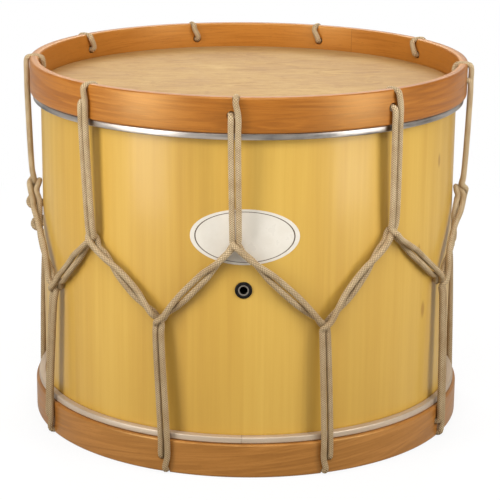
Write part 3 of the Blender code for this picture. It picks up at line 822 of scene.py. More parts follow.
@dataclass
class Assembly:
    """What every sub-assembly shares: handing a finished piece over to the frame."""

    sizes: Sizes = SIZES

    def hand_over(self, piece: bpy.types.Object, finish: bpy.types.Material, slot: str, *nodes: str) -> None:
        """Dress a finished piece, hang it on the root body and hide the part's nodes that it replaces.

        Args:
            piece: the finished piece.
            finish: its material.
            slot: the record's material slot; not used.
            nodes: the part's nodes that it replaces.
        """
        piece.data.materials.clear()
        piece.data.materials.append(finish)
        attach(piece, "root")
        if nodes:
            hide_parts(*nodes)
        triangles = sum(len(face.vertices) - 2 for face in piece.data.polygons)
        log.info("%s: %d triangles, %s", piece.name, triangles, finish.name)


@dataclass
class Shell(Assembly):
    """The bent ply shell with its bearing edges, vent hole and inner stiffening strips."""

    chamfer: float = 0.0035
    edge_round: float = 0.0012
    stiffener_thickness: float = 0.005
    stiffener_height: float = 0.030
    stiffener_setback: float = 0.008
    steps: int = 192
    seam: float = 168.0
    vent_angle: float = -0.8
    vent_height: float = 0.200
    vent_hole: float = 0.0052

    def build(self) -> None:
        """Build the shell and both strips."""
        self.build_wall()
        finish = BarePly().lay()
        for end in End:
            self.build_stiffener(end, finish)

    def build_wall(self) -> None:
        """Spin the ply wall and drill its vent hole."""
        sizes = self.sizes
        inside, outside = sizes.shell_radius - sizes.shell_wall, sizes.shell_radius
        low, high = sizes.shell_end, sizes.height - sizes.shell_end
        middle = outside - sizes.shell_wall / 2
        wall = upright_section("drum_shell", inside, outside, low, high)
        round_corners(wall, lambda place, _: place.x < middle, self.chamfer, 1)
        round_corners(wall, lambda place, _: place.x > outside - 1e-5, self.edge_round, 4)
        spin_ring(wall, self.steps, self.seam)
        deselect()
        bpy.ops.mesh.primitive_cylinder_add(vertices=48, radius=self.vent_hole, depth=sizes.shell_wall * 3)
        cutter = bpy.context.object
        set_outwards(cutter, self.vent_angle, sizes.shell_radius, self.vent_height)
        cut(wall, cutter)
        wrap_uv(wall, sizes.shell_radius, self.seam)
        smooth(wall)
        self.hand_over(wall, ShellLacquer().lay(), "shell_wood", "shell")

    def build_stiffener(self, end: End, finish: bpy.types.Material) -> None:
        """Spin the strip that is glued inside one end of the shell."""
        sizes = self.sizes
        outside = sizes.shell_radius - sizes.shell_wall - sizes.fit
        depth = sizes.shell_end + self.stiffener_setback
        levels = sorted(sizes.level(end, depth + extra) for extra in (0.0, self.stiffener_height))
        strip = upright_section(f"{end.name.lower()}_strip", outside - self.stiffener_thickness, outside, *levels)
        round_corners(strip, lambda place, _: place.x < outside - self.stiffener_thickness / 2, 0.0012, 3)
        spin_ring(strip, 128, self.seam + 20.0, 0.002)
        wrap_uv(strip, outside, self.seam + 20.0)
        smooth(strip)
        self.hand_over(strip, finish, "stiffener_wood", f"{end.name.lower()}_stiffener")


@dataclass
class Vent(Assembly):
    """The vent's eyelet and the washer that its tube is rolled over inside the shell."""

    angle: float = -0.8
    height: float = 0.200
    bore: float = 0.0040
    tube: float = 0.0049
    flange: float = 0.0089
    flange_thickness: float = 0.0016
    washer: float = 0.0085
    washer_thickness: float = 0.0010
    roll: float = 0.0068
    roll_thickness: float = 0.0008

    def build(self) -> None:
        """Build both pieces in place."""
        inside = self.sizes.shell_radius - self.sizes.shell_wall
        hollow = self.washer**2 / (2 * inside) + inside * (1.0 - math.cos(math.pi / 56))
        washer_face = -self.sizes.shell_wall - hollow - self.sizes.fit
        roll_face = washer_face - self.washer_thickness - self.sizes.fit
        self.build_eyelet(roll_face)
        self.build_washer(washer_face)

    def build_eyelet(self, roll_face: float) -> None:
        """Turn the eyelet: a rolled inner end, the tube, and a domed flange with a raised lip."""
        crown = self.sizes.fit + self.flange_thickness
        end = roll_face - self.roll_thickness
        rim = self.flange - self.flange_thickness * 0.62
        profile = [
            (self.bore, roll_face),
            (self.bore + 0.0002, end + 0.0002),
            (self.tube + 0.0003, end),
            (self.roll - 0.0003, end + 0.0001),
            (self.roll, end + 0.0004),
            (self.roll, roll_face),
            (self.tube, roll_face),
            (self.tube, self.sizes.fit),
            (self.flange - 0.0002, self.sizes.fit),
            (self.flange, self.sizes.fit + 0.0004),
            (self.flange - 0.0002, crown - 0.0007),
            (rim, crown - 0.0001),
            (rim - 0.0007, crown),
            (self.tube + 0.0014, crown - 0.0002),
            (self.tube + 0.0009, crown - 0.0006),
            (self.tube + 0.0005, crown - 0.0001),
            (self.tube - 0.0001, crown),
            (self.bore + 0.0002, crown - 0.0003),
            (self.bore, crown - 0.0009),
        ]
        eyelet = turn_up("vent_eyelet_ring", profile, 56, True)
        set_outwards(eyelet, self.angle, self.sizes.shell_radius, self.height)
        smooth(eyelet, 55.0)
        self.hand_over(eyelet, VentEnamel().lay(), "vent_black", "vent_eyelet")

    def build_washer(self, face: float) -> None:
        """Turn the flat washer."""
        inner, outer = self.tube + self.sizes.fit, self.washer
        low = face - self.washer_thickness
        profile = [
            (inner, low),
            (outer - 0.0002, low),
            (outer, low + 0.0002),
            (outer, face - 0.0002),
            (outer - 0.0002, face),
            (inner, face),
        ]
        washer = turn_up("vent_washer_ring", profile, 48, True)
        set_outwards(washer, self.angle, self.sizes.shell_radius, self.height)
        smooth(washer, 50.0)
        self.hand_over(washer, WasherSteel().lay(), "vent_washer", "vent_washer")


@dataclass
class Head(Assembly):
    """A rawhide skin, slightly uneven, with the collar that hangs in its flesh ring."""

    end: End = End.UPPER
    round_over: float = 0.0018
    segments: int = 144
    insets: int = 20
    waviness: float = 0.00022
    flat_band: float = 0.215

    def build(self, finish: bpy.types.Material) -> None:
        """Draw the skin out from its rim inwards, let down its collar and give it its thickness."""
        sizes = self.sizes
        rim = sizes.collar_outside - self.round_over
        face = sizes.level(self.end, sizes.head_depth)
        deselect()
        bpy.ops.mesh.primitive_circle_add(
            vertices=self.segments, radius=rim, fill_type="NGON", location=(0.0, 0.0, face)
        )
        skin = named(bpy.context.object, f"{self.end.name.lower()}_skin")
        settle(skin)
        edit(skin, Pick.FACES, everything)
        for _ in range(self.insets):
            bpy.ops.mesh.inset(thickness=rim / (self.insets + 1))
        bpy.ops.mesh.merge(type="CENTER")
        self.let_down_collar(skin, rim, face)
        self.unsettle(skin, face)
        edit(skin, Pick.FACES, everything)
        bpy.ops.mesh.normals_make_consistent(inside=False)
        object_mode()
        apply(skin, "SOLIDIFY", thickness=sizes.skin, offset=-1.0)
        smooth(skin, 60.0)
        self.hand_over(skin, finish, "rawhide", f"{self.end.name.lower()}_head")

    def let_down_collar(self, skin: bpy.types.Object, rim: float, face: float) -> None:
        """Extrude the skin's rim over its rounding and down to the collar's edge.

        Args:
            skin: the flat skin.
            rim: radius where it starts to bend.
            face: height of its flat face.
        """
        edit(skin, Pick.EDGES, lambda place, _: math.hypot(place.x, place.y) > rim * 0.998)
        inwards = -self.end.value
        stations = [
            (rim + self.round_over * math.sin(turn), face + inwards * self.round_over * (1.0 - math.cos(turn)))
            for turn in (math.pi / 8, math.pi / 4, math.pi * 3 / 8, math.pi / 2)
        ]
        edge = self.sizes.ring_edge + self.sizes.ring_height - self.sizes.fit
        stations += [
            (self.sizes.collar_outside, self.sizes.level(self.end, edge - 0.006)),
            (self.sizes.collar_outside, self.sizes.level(self.end, edge)),
        ]
        radius, height = rim, face
        for next_radius, next_height in stations:
            grow(next_radius, next_height, radius, height)
            radius, height = next_radius, next_height
        object_mode()

    def unsettle(self, skin: bpy.types.Object, face: float) -> None:
        """Raise and lower the skin by a fraction of a millimetre inside its bearing edge."""
        for vertex in skin.data.vertices:
            far = math.hypot(vertex.co.x, vertex.co.y)
            if far < self.flat_band:
                ease = 1.0 - (far / self.flat_band) ** 4
                swell = noise.noise(Vector((vertex.co.x * 14.0, vertex.co.y * 26.0, face * 9.0)))
                vertex.co.z += self.waviness * ease * swell


@dataclass
class FleshRing(Assembly):
    """A metal flesh ring, open at its butt joint by a hair."""

    end: End = End.UPPER
    seam: float = -1.05
    joint_width: float = 0.0003
    outer_round: float = 0.0014
    steps: int = 192

    def build(self, finish: bpy.types.Material) -> None:
        """Spin the ring from its rounded section."""
        sizes = self.sizes
        levels = sorted(sizes.level(self.end, sizes.ring_edge + extra) for extra in (0.0, sizes.ring_height))
        ring = upright_section(f"{self.end.name.lower()}_ring", sizes.hoop_inside, sizes.ring_outside, *levels)
        middle = (sizes.hoop_inside + sizes.ring_outside) / 2
        round_corners(ring, lambda place, _: place.x > middle, self.outer_round, 4)
        spin_ring(ring, self.steps, self.seam, self.joint_width / sizes.ring_outside)
        wrap_uv(ring, sizes.ring_outside, self.seam)
        smooth(ring)
        self.hand_over(ring, finish, "ring_metal", f"{self.end.name.lower()}_flesh_ring")


@dataclass
class Counterhoop(Assembly):
    """A bent wooden counterhoop with nine rope holes and nine notches."""

    end: End = End.UPPER
    seam: float = 147.5
    stops: list[tuple[float, int]] = field(default_factory=list)
    notch_depth: float = 0.0050
    hole_radius: float = 0.0043
    hole_depth: float = 0.01825
    hole_easing: float = 0.0007
    hole_shift: float = 0.00452
    notch_half_width: float = 0.0037
    edge_round: float = 0.0025
    steps: int = 240

    def build(self) -> None:
        """Spin the hoop from its rounded section, drill it and notch it."""
        sizes = self.sizes
        levels = sorted(sizes.level(self.end, depth) for depth in (0.0, sizes.hoop_height))
        name = f"{self.end.name.lower()}_counterhoop"
        hoop = upright_section(name, sizes.hoop_inside, sizes.hoop_outside, *levels)
        round_corners(hoop, everything, self.edge_round, 5)
        spin_ring(hoop, self.steps, self.seam)
        cutters = [self.hole_cutter(angle, side) for angle, side in self.stops]
        cutters += [self.notch_cutter(angle) for angle, _ in self.stops]
        cut(hoop, join(cutters, "hoop_cutter"))
        wrap_uv(hoop, sizes.hoop_outside, self.seam)
        smooth(hoop, 32.0)
        finish = HoopVarnish()
        if self.end is End.LOWER:
            finish = HoopVarnish(tint(173, 115, 55), tint(152, 97, 41), tint(130, 79, 30), slope=-0.10, shift=3.7)
        self.hand_over(hoop, finish.lay(), "hoop_wood", f"{self.end.name.lower()}_hoop")

    def hole_cutter(self, angle: float, side: int) -> bpy.types.Object:
        """Turn the drill of one rope hole, wider at both faces of the hoop where edges are eased."""
        half = (self.sizes.hoop_outside - self.sizes.hoop_inside) / 2
        straight = half - self.hole_easing
        flare = self.hole_radius + self.hole_easing * 2
        profile = [
            (flare, -half - self.hole_easing),
            (self.hole_radius, -straight),
            (self.hole_radius, straight),
            (flare, half + self.hole_easing),
        ]
        cutter = turn_up("drill", profile, 28, False)
        turn = angle + side * math.degrees(self.hole_shift / Lacing.junction_radius)
        set_outwards(cutter, turn, self.sizes.hoop_inside + half, self.sizes.level(self.end, self.hole_depth))
        return cutter

    def notch_cutter(self, angle: float) -> bpy.types.Object:
        """Shape the round-bottomed file of one notch from a bar that is drawn up at its upper half."""
        deselect()
        bpy.ops.mesh.primitive_cylinder_add(vertices=24, radius=self.notch_half_width, depth=0.03)
        bar = bpy.context.object
        middle = self.sizes.hoop_inside + 0.005
        set_outwards(bar, angle, middle, self.sizes.level(self.end, self.notch_depth - self.notch_half_width))
        way = self.end.value
        edit(bar, Pick.FACES, lambda _, normal: normal.z * way > 0.05)
        bpy.ops.mesh.extrude_region_move(TRANSFORM_OT_translate={"value": (0.0, 0.0, way * 0.012)})
        bpy.ops.mesh.select_all(action="SELECT")
        bpy.ops.mesh.normals_make_consistent(inside=False)
        object_mode()
        return bar


@dataclass
class Lacing(Assembly):
    """The lacing rope and the tension rope, as braided cords along the part's own routes."""

    cord_radius: float = 0.0031
    bend_radius: float = 0.0037
    pitch: float = 0.00665
    wound_radius: float = 0.00665 / math.cos(math.pi / 10)
    twisted_radius: float = 0.00665 / 2 / math.cos(math.radians(24.0))
    arm_start: tuple[float, float] = (0.0050, -0.0075)
    joined_side: float = 0.0050
    joined_lift: float = 0.0016
    hitch_pitch: float = 0.0074
    tail: float = 0.005
    turn_steps: int = 10
    hitched_stop: int = 2
    hole_depth: float = 0.01825
    upper_crossing: float = 0.0050 - 0.0034
    lower_crossing: float = 0.0069 - 0.0034
    plait: float = 0.0023
    columns: int = 12
    swell: float = 0.00016
    sink: float = 0.00026
    back_pass: float = 0.2286 + 0.0003 + 0.0031
    junction_radius: float = 0.2286 + 0.0003 + 0.0031 + 0.00665 / math.cos(math.pi / 10)

    def build(self) -> None:
        """Build both ropes."""
        finish = BraidedCord().lay()
        self.build_cord("lacing_cord", self.lacing_route(), finish, "lacing_rope")
        self.build_cord("tension_cord", self.tension_route(), finish, "tension_rope")

    def build_cord(self, name: str, route: Sequence[Vector], finish: bpy.types.Material, node: str) -> None:
        """Plait one cord along a route, as rings whose points stand out in the middle of a yarn.

        Args:
            name: the piece's name.
            route: the points that it follows.
            finish: its material.
            node: the part's node that it replaces.
        """
        line = self.smooth_line(np.array(route))
        sides, ups = self.carried_frames(line)
        count, columns = len(line), self.columns
        turns = np.arange(columns) / columns * math.tau
        odd = (np.arange(count)[:, None] + np.arange(columns)[None]) % 2
        radii = self.cord_radius + np.where(odd == 1, self.swell, -self.sink)
        ends = np.minimum(np.arange(count), np.arange(count)[::-1])
        radii *= np.where(ends < 2, (0.62, 0.92)[0] + 0.30 * ends.clip(0, 1), 1.0)[:, None]
        rings = line[:, None] + radii[..., None] * (
            sides[:, None] * np.cos(turns)[None, :, None] + ups[:, None] * np.sin(turns)[None, :, None]
        )
        middles = [line[0], line[-1]]
        vertices = np.vstack([rings.reshape(-1, 3), middles])
        here = (np.arange(count - 1)[:, None] * columns + np.arange(columns)[None]).ravel()
        beside = (np.arange(count - 1)[:, None] * columns + (np.arange(columns)[None] + 1) % columns).ravel()
        quads = np.column_stack([here, beside, beside + columns, here + columns])
        first, last = count * columns, count * columns + 1
        around = np.arange(columns)
        nearby = (around + 1) % columns
        far = (count - 1) * columns
        caps = [(first, int(b), int(a)) for a, b in zip(around, nearby)]
        caps += [(last, far + int(a), far + int(b)) for a, b in zip(around, nearby)]
        mesh = bpy.data.meshes.new(name)
        mesh.from_pydata(vertices.tolist(), [], quads.tolist() + caps)
        cord = bpy.data.objects.new(name, mesh)
        bpy.context.scene.collection.objects.link(cord)
        self.plait_uv(mesh, count)
        smooth(cord, 80.0)
        self.hand_over(cord, finish, "rope", node)
        log.info("%s: %.2f m of cord", name, np.linalg.norm(np.diff(line, axis=0), axis=1).sum())

    def plait_uv(self, mesh: bpy.types.Mesh, count: int) -> None:
        """Lay the braid's UV map: once round the cord, and one for each length of the plait.

        Args:
            mesh: the cord's mesh, its quads first and then the fans of its two ends.
            count: rings along the cord.
        """
        columns = self.columns
        column = np.tile(np.arange(columns), count - 1)
        ring = np.repeat(np.arange(count - 1), columns)
        corners = [(column, ring), (column + 1, ring), (column + 1, ring + 1), (column, ring + 1)]
        quads = np.stack([np.column_stack([u / columns, v / 2]) for u, v in corners], axis=1).reshape(-1, 2)
        fans = []
        for ring_at, forward in ((0, False), (count - 1, True)):
            for step in range(columns):
                edge = [(step, ring_at), (step + 1, ring_at)]
                edge = edge if forward else edge[::-1]
                fans += [(step + 0.5, ring_at + (1 if forward else -1)), *edge]
        ends = np.array(fans, float) / (columns, 2.0)
        mesh.uv_layers.new(name="braid").data.foreach_set("uv", np.vstack([quads, ends]).ravel())

    def smooth_line(self, points: np.ndarray) -> np.ndarray:
        """Round a route's corners off and place points on it at half the plait's length.

        Args:
            points: the route's points.

        Returns:
            Evenly spaced points on a centripetal spline through them.
        """
        ghosts = np.vstack([2 * points[0] - points[1], points, 2 * points[-1] - points[-2]])
        drawn = []
        for before, start, end, after in zip(ghosts, ghosts[1:], ghosts[2:], ghosts[3:]):
            knots = np.cumsum([0.0] + [np.linalg.norm(b - a) ** 0.5 for a, b in ((before, start), (start, end), (end, after))])
            steps = max(2, math.ceil(np.linalg.norm(end - start) / 0.0004))
            place = np.linspace(knots[1], knots[2], steps, endpoint=False)[:, None]

            def between(one: np.ndarray, two: np.ndarray, low: int, high: int) -> np.ndarray:
                """Return the points between two of the spline's helpers."""
                share = (place - knots[low]) / (knots[high] - knots[low])
                return one * (1.0 - share) + two * share

            a, b, c = between(before, start, 0, 1), between(start, end, 1, 2), between(end, after, 2, 3)
            drawn.append(between(between(a, b, 0, 2), between(b, c, 1, 3), 1, 2))
        line = np.vstack([*drawn, points[-1:]])
        marks = np.concatenate([[0.0], np.cumsum(np.linalg.norm(np.diff(line, axis=0), axis=1))])
        count = round(marks[-1] / (self.plait / 2)) + 1
        even = np.linspace(0.0, marks[-1], count)
        return np.column_stack([np.interp(even, marks, line[:, axis]) for axis in range(3)])

    def carried_frames(self, line: np.ndarray) -> tuple[np.ndarray, np.ndarray]:
        """Return two directions across the cord at each point, carried along it without a twist."""
        along = np.gradient(line, axis=0)
        along /= np.linalg.norm(along, axis=1)[:, None]
        side = np.cross(along[0], (0.0, 0.0, 1.0))
        if np.linalg.norm(side) < 0.1:
            side = np.cross(along[0], (1.0, 0.0, 0.0))
        sides = [side / np.linalg.norm(side)]
        for way in along[1:]:
            carried = sides[-1] - way * (sides[-1] @ way)
            sides.append(carried / np.linalg.norm(carried))
        across = np.array(sides)
        return across, np.cross(along, across)

    def sideways(self, length: float) -> float:
        """Return the angle in degrees that a sideways length takes up among the strands."""
        return math.degrees(length / self.junction_radius)

    def bend(self, radius: float, depth: float, start: float, end: float) -> list[tuple[float, float]]:
        """Return (radius, depth) points on a bend round an edge of the hoop, from one angle to another."""
        turns = [math.radians(turn) for turn in (start, (start + end) / 2, end)]
        return [(radius + self.bend_radius * math.cos(t), depth + self.bend_radius * math.sin(t)) for t in turns]

    def stop(self, notch: float, side: int, end: End) -> list[Vector]:
        """Return the points at a stop: in through the hole, up inside the hoop and over its notch.

        Args:
            notch: the notch's angle.
            side: the side of the notch that the hole is on.
            end: the end of the drum that the hoop is at.

        Returns:
            The points, from the strand that enters the hole.
        """
        sizes = self.sizes
        crossing = self.upper_crossing if end is End.UPPER else self.lower_crossing
        outer = sizes.hoop_outside + self.bend_radius
        at_hole = side * self.sideways(self.pitch * 0.68)
        beside = -side * self.sideways(self.pitch * 0.36)
        stations = [(at_hole, outer, sizes.hoop_height)]
        through = self.bend(sizes.hoop_outside, self.hole_depth + self.bend_radius, 0.0, -90.0)
        through += self.bend(sizes.hoop_inside, self.hole_depth - self.bend_radius, 90.0, 180.0)
        over = self.bend(sizes.hoop_inside, crossing + self.bend_radius, 180.0, 270.0)
        over += self.bend(sizes.hoop_outside, crossing + self.bend_radius, -90.0, 0.0)
        stations += [(at_hole, *place) for place in through]
        stations += [(0.0, *place) for place in over]
        stations += [(beside, outer, self.hole_depth), (beside, outer, sizes.hoop_height)]
        return [at(notch + offset, radius, sizes.level(end, depth)) for offset, radius, depth in stations]

    def near(self, junction: Place, station: Station, end: End) -> Vector:
        """Return a point from a junction's station of sideways, rise and distance outwards."""
        sideways, rise, out = station
        angle = junction[0] + self.sideways(sideways)
        return at(angle, self.junction_radius + out, junction[1] + end.value * rise)

    def through(self, junction: Place, stations: Sequence[Station], end: End) -> list[Vector]:
        """Return the points of one rope's way through a junction."""
        return [self.near(junction, station, end) for station in stations]

    def arm(self, high: Place, low: Place, side: int) -> Line:
        """Return the ends of the line that two ropes follow down from one side of an upper junction."""
        sideways, rise = self.arm_start
        return (
            self.near(high, (side * sideways, rise, 0.0), End.UPPER),
            self.near(low, (-side * sideways, rise, 0.0), End.LOWER),
        )

    def beside(self, line: Line, share: float, turn: float, distance: float) -> Vector:
        """Return a point at a distance from a line that slants down the shell.

        Args:
            line: its ends.
            share: how far down it the point is.
            turn: degrees round the line, 0 outside, -90 below and 90 above it.
            distance: how far from it the point is.

        Returns:
            The point, with the line kept clear of the shell.
        """
        middle = line[0].lerp(line[1], share)
        outside = Vector((middle.x, middle.y, 0.0)).normalized()
        lift = self.back_pass + 0.0003 + self.twisted_radius - math.hypot(middle.x, middle.y)
        middle += outside * max(lift, 0.0)
        above = outside.cross((line[1] - line[0]).normalized())
        if above.z < 0.0:
            above.negate()
        way = outside * math.cos(math.radians(turn)) + above * math.sin(math.radians(turn))
        return middle + way * distance

    def arm_strand(self, line: Line, half_turn: float) -> list[Vector]:
        """Return the tension rope's points down an arm, or half a turn on the lacing's."""
        return [self.beside(line, share, turn + half_turn, self.twisted_radius) for share, turn in ARM_TWIST]

    def upper(self, index: int) -> Place:
        """Return an upper junction's angle and height."""
        return UPPER_STOPS[index % len(UPPER_STOPS)][1:3]

    def lower(self, index: int) -> Place:
        """Return a lower junction's angle and height."""
        return LOWER_STOPS[index % len(LOWER_STOPS)][1:3]

    def hitched(self) -> Line:
        """Return the stretch of the lacing that both ends of the tension rope are wound round."""
        line = self.arm(self.upper(self.hitched_stop), self.lower(self.hitched_stop - 1), -1)
        lifted = []
        for share in (0.26, 0.74):
            place = line[0].lerp(line[1], share)
            outside = Vector((place.x, place.y, 0.0)).normalized() * (self.junction_radius + 0.0010)
            lifted.append(Vector((outside.x, outside.y, place.z)))
        return lifted[0], lifted[1]

    def hitch(self, start: float, end: float, turn: float) -> list[Vector]:
        """Return the points of an end that winds round the hitched strand, from its tail.

        Args:
            start: where the winding starts down that strand.
            end: where it ends.
            turn: the angle in degrees that it ends at.

        Returns:
            The points.
        """
        line = self.hitched()
        length = (line[1] - line[0]).length
        sense = 1.0 if turn < 0.0 else -1.0
        tail = start + self.tail * (1.0 if start > end else -1.0)
        points = [self.beside(line, tail / length, turn, self.wound_radius)]
        for step in range(self.turn_steps + 1):
            share = step / self.turn_steps
            place = (start + (end - start) * share) / length
            turned = turn + sense * 360.0 * (1.0 - share)
            points.append(self.beside(line, place, turned, self.wound_radius))
        return points

    def tension_route(self) -> list[Vector]:
        """Return the tension rope's points, all the way round from the hitched strand and back."""
        high, low = self.hitched()
        foot = (low - high).length - 0.002
        last = self.hitched_stop + len(UPPER_STOPS) - 1
        route = self.hitch(0.002 + self.hitch_pitch, 0.002, 90.0)
        for index in range(self.hitched_stop, last + 1):
            here, after = self.upper(index), self.lower(index)
            route += self.through(here, TENSION_PASS, End.UPPER)
            route += self.arm_strand(self.arm(here, after, 1), 0.0)
            route += self.through(after, TENSION_PASS, End.LOWER)
            if index < last:
                route += self.arm_strand(self.arm(self.upper(index + 1), after, -1), 0.0)[::-1]
        return route + self.hitch(foot - self.hitch_pitch, foot, -90.0)[::-1]

    def wind(self, middle: tuple[float, float], side: int, heights: tuple[float, float]) -> list[Vector]:
        """Return the points of an end that winds once round an upright strand."""
        angle, radius = middle
        points = []
        for step in range(self.turn_steps + 1):
            share = step / self.turn_steps
            turn = side * (math.pi / 2 + math.tau * share)
            offset = self.sideways(self.wound_radius * math.sin(turn))
            height = heights[0] + (heights[1] - heights[0]) * share
            points.append(at(angle + offset, radius + self.wound_radius * math.cos(turn), height))
        return points

    def joining_knot(self) -> tuple[list[Vector], list[Vector]]:
        """Return the lacing's two ends, each wound once round the other behind the drum."""
        angle = self.lower(-1)[0]
        radius = self.junction_radius + self.joined_lift
        rising = (angle - self.sideways(self.joined_side), radius)
        falling = (angle - self.sideways(self.joined_side + self.wound_radius), radius)
        wound, tail = self.hitch_pitch, self.tail
        low, high = 0.074, 0.102
        first = [at(*falling, low - wound - tail)]
        first += self.wind(rising, -1, (low, low - wound))[::-1]
        first += [at(*falling, low + tail), at(*falling, high + wound + tail)]
        second = [at(*rising, low - wound - tail), at(*rising, high - tail)]
        second += self.wind(falling, 1, (high, high + wound))
        second.append(at(*rising, high + wound + tail))
        return first, second

    def lacing_route(self) -> list[Vector]:
        """Return the lacing rope's points, from its knot round the whole drum and back to it."""
        route, second = self.joining_knot()
        count = len(UPPER_STOPS)
        for index in range(count):
            before, here, after = self.lower(index - 1), self.upper(index), self.lower(index)
            route += self.through(before, FRONT_STRAND, End.LOWER)
            if index == self.hitched_stop:
                route += self.hitched()[::-1]
            else:
                route += self.arm_strand(self.arm(here, before, -1), 180.0)[::-1]
            route += self.through(here, REAR_STRAND, End.UPPER)[::-1]
            route += self.stop(UPPER_STOPS[index][0], -1, End.UPPER)[::-1]
            route += self.through(here, FRONT_STRAND, End.UPPER)
            route += self.arm_strand(self.arm(here, after, 1), 180.0)
            route += self.through(after, REAR_STRAND, End.LOWER)[::-1]
            if index == count - 1:
                passing = (after[0] + self.sideways(0.0102), self.junction_radius + self.joined_lift)
                route += [at(*passing, height) for height in (0.112, 0.066)]
            notch, side = LOWER_STOPS[index][0], LOWER_STOPS[index][3]
            stop = self.stop(notch, side, End.LOWER)
            route += stop[::-1] if side < 0 else stop
        return route + second


@dataclass
class BlankPlate(Assembly):
    """A thin plain oval plate on the drum's front, bent to the shell."""

    angle: float = -0.6
    height: float = 0.2555
    width: float = 0.112
    tall: float = 0.058
    thickness: float = 0.00022
    insets: int = 12

    def build(self) -> None:
        """Draw the oval, inset it into rings, give it its thickness and lay it on the shell."""
        deselect()
        bpy.ops.mesh.primitive_circle_add(vertices=96, radius=0.5, fill_type="NGON")
        plate = named(bpy.context.object, "blank_plate")
        edit(plate, Pick.FACES, everything)
        for _ in range(self.insets):
            bpy.ops.mesh.inset(thickness=0.5 / (self.insets + 1))
        bpy.ops.mesh.merge(type="CENTER")
        object_mode()
        layer = plate.data.uv_layers.new(name="oval")
        for loop in plate.data.loops:
            place = plate.data.vertices[loop.vertex_index].co
            layer.data[loop.index].uv = (math.hypot(place.x, place.y) * 2.0, 0.0)
        plate.scale = (self.width, self.tall, 1.0)
        settle(plate)
        for vertex in plate.data.vertices:
            turn = self.angle + math.degrees(vertex.co.x / self.sizes.shell_radius)
            vertex.co = at(turn, self.sizes.shell_radius + self.thickness, self.height + vertex.co.y)
        edit(plate, Pick.FACES, everything)
        bpy.ops.mesh.normals_make_consistent(inside=False)
        object_mode()
        if plate.data.polygons[0].normal.y > 0.0:
            plate.data.flip_normals()
        apply(plate, "SOLIDIFY", thickness=self.thickness, offset=-1.0)
        smooth(plate, 50.0)
        self.hand_over(plate, PlateEnamel().lay(), "vent_black")


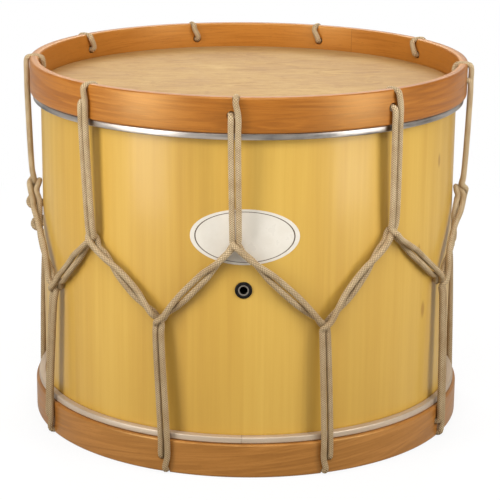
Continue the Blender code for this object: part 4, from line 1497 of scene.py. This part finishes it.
@dataclass
class Studio:
    """The pale floor, the soft lights and the camera."""

    camera_place: Station = (0.0, -2.011484, 0.748437)
    pitch: float = 0.276602
    roll: float = 0.0093916
    yaw: float = -0.00165
    lens: float = 132.8
    sensor: float = 36.0
    bounce: Colour = (0.34, 0.33, 0.31, 1.0)

    def build(self) -> None:
        """Set everything up."""
        bpy.context.scene.view_settings.view_transform = "Standard"
        self.lay_floor()
        self.light_world()
        self.hang_lamp("left_lamp", (-0.88, -0.77, 0.70), (0.42, 1.20), 11.2, 0.70)
        self.hang_lamp("right_lamp", (0.93, -0.71, 0.70), (0.42, 1.20), 10.0, 0.70)
        self.hang_lamp("front_lamp", (0.0, -2.1, 2.1), (1.6, 1.2), 29.0)
        self.hang_lamp("top_lamp", (0.0, -0.3, 2.3), (1.6, 1.4), 12.0)
        self.hang_lamp("back_lamp", (0.0, 2.0, 1.9), (1.6, 1.2), 26.0)
        self.hang_lamp("rear_lamp", (0.0, 1.5, 0.75), (1.3, 1.0), 17.0, 0.6, mirrored=False)
        self.set_camera()

    def lay_floor(self) -> None:
        """Lay a pale floor that turns up into a backdrop far behind the drum."""
        deselect()
        bpy.ops.mesh.primitive_plane_add(size=14.0, location=(0.0, 0.0, -0.0002))
        floor = named(bpy.context.object, "studio_floor")
        settle(floor)
        edit(floor, Pick.EDGES, lambda place, _: place.y > 6.9)
        bpy.ops.mesh.extrude_region_move(TRANSFORM_OT_translate={"value": (0.0, 0.0, 7.0)})
        object_mode()
        edit(floor, Pick.EDGES, lambda place, way: place.y > 6.9 and abs(place.z) < 0.01 and abs(way.x) > 0.9)
        bpy.ops.mesh.bevel(offset=2.0, segments=12)
        object_mode()
        smooth(floor, 60.0)
        recipe = Recipe("studio_paper")
        paper = recipe.noise(recipe.space(), 90.0, 4.0, 0.6)
        colour = recipe.ramp(paper, [(0.3, (0.84, 0.84, 0.84, 1.0)), (0.7, (0.88, 0.88, 0.88, 1.0))])
        path = recipe.node("LightPath")
        bounced = recipe.maths("MAXIMUM", path.outputs["Is Diffuse Ray"], path.outputs["Is Glossy Ray"])
        colour = recipe.mix(bounced, colour, self.bounce)
        recipe.dress(Base_Color=colour, Roughness=0.9, Specular_IOR_Level=0.0)
        mirrored = recipe.maths("MULTIPLY", path.outputs["Is Glossy Ray"], 0.45)
        seen = recipe.maths("MAXIMUM", path.outputs["Is Camera Ray"], path.outputs["Is Transmission Ray"])
        seen = recipe.maths("MAXIMUM", seen, mirrored)
        glow = recipe.node("Emission", {"Color": (1.0, 1.0, 1.0, 1.0), "Strength": 1.0})
        far = recipe.node("VectorMath", {0: recipe.space()}, operation="LENGTH").outputs["Value"]
        share = recipe.maths("MULTIPLY", seen, recipe.remap(far, 0.35, 1.1, 0.87, 1.0))
        blend = recipe.node("MixShader", {0: share, 1: recipe.shader.outputs[0], 2: glow.outputs[0]})
        recipe.feed(recipe.tree.nodes["Material Output"].inputs["Surface"], blend.outputs[0])
        floor.data.materials.append(recipe.material)

    def light_world(self) -> None:
        """Fill the room with weak even light that looks white where it is seen."""
        world = bpy.data.worlds.new("studio_world")
        world.use_nodes = True
        bpy.context.scene.world = world
        tree = world.node_tree
        background = tree.nodes["Background"]
        path = tree.nodes.new("ShaderNodeLightPath")
        seen = tree.nodes.new("ShaderNodeMath")
        seen.operation = "MAXIMUM"
        tree.links.new(path.outputs["Is Camera Ray"], seen.inputs[0])
        tree.links.new(path.outputs["Is Transmission Ray"], seen.inputs[1])
        strength = tree.nodes.new("ShaderNodeMapRange")
        tree.links.new(seen.outputs[0], strength.inputs["Value"])
        strength.inputs["To Min"].default_value = 0.20
        strength.inputs["To Max"].default_value = 1.0
        tree.links.new(strength.outputs["Result"], background.inputs["Strength"])
        background.inputs["Color"].default_value = (1.0, 1.0, 1.0, 1.0)

    def hang_lamp(
        self,
        name: str,
        place: Station,
        size: tuple[float, float],
        power: float,
        aim_height: float = 0.2,
        mirrored: bool = True,
    ) -> None:
        """Hang one soft box that faces the drum.

        Args:
            name: the lamp's name.
            place: where it hangs.
            size: its width and height.
            power: its power in watts.
            aim_height: height of the place on the drum's axis that it faces.
            mirrored: whether glossy surfaces show it.
        """
        deselect()
        bpy.ops.object.light_add(type="AREA", location=place)
        lamp = bpy.context.object
        lamp.name = name
        lamp.data.shape = "RECTANGLE"
        lamp.data.size, lamp.data.size_y = size
        lamp.data.energy = power
        lamp.visible_camera = False
        lamp.visible_glossy = mirrored
        aim = Vector((0.0, 0.0, aim_height)) - Vector(place)
        lamp.rotation_euler = aim.to_track_quat("-Z", "Y").to_euler()

    def set_camera(self) -> None:
        """Stand the camera where the photograph was taken from."""
        deselect()
        bpy.ops.object.camera_add(location=self.camera_place)
        camera = bpy.context.object
        camera.name = "photo_camera"
        camera.data.lens = self.lens
        camera.data.sensor_width = self.sensor
        turn = Matrix.Rotation(self.yaw, 4, "Z") @ Matrix.Rotation(math.pi / 2 - self.pitch, 4, "X")
        turn = turn @ Matrix.Rotation(self.roll, 4, "Z")
        camera.matrix_world = Matrix.Translation(self.camera_place) @ turn
        bpy.context.scene.camera = camera


def main() -> None:
    """Build the drum's pieces from the inside outwards, then the studio."""
    logging.basicConfig(level=logging.INFO, format="%(name)s %(message)s")
    Studio().build()
    Shell().build()
    Vent().build()
    rawhide = RawhideSkin().lay()
    for end in End:
        Head(end=end).build(rawhide)
    FleshRing(end=End.UPPER, seam=171.0).build(RingMetal(Polish.BRIGHT).lay())
    FleshRing(end=End.LOWER).build(RingMetal(Polish.SATIN).lay())
    Counterhoop(end=End.UPPER, stops=[(notch, -1) for notch, _, _ in UPPER_STOPS]).build()
    lower_stops = [(notch, side) for notch, _, _, side in LOWER_STOPS]
    Counterhoop(end=End.LOWER, seam=-158.0, stops=lower_stops, notch_depth=0.0069).build()
    BlankPlate().build()
    Lacing().build()
    deselect()


if __name__ == "__main__":
    main()
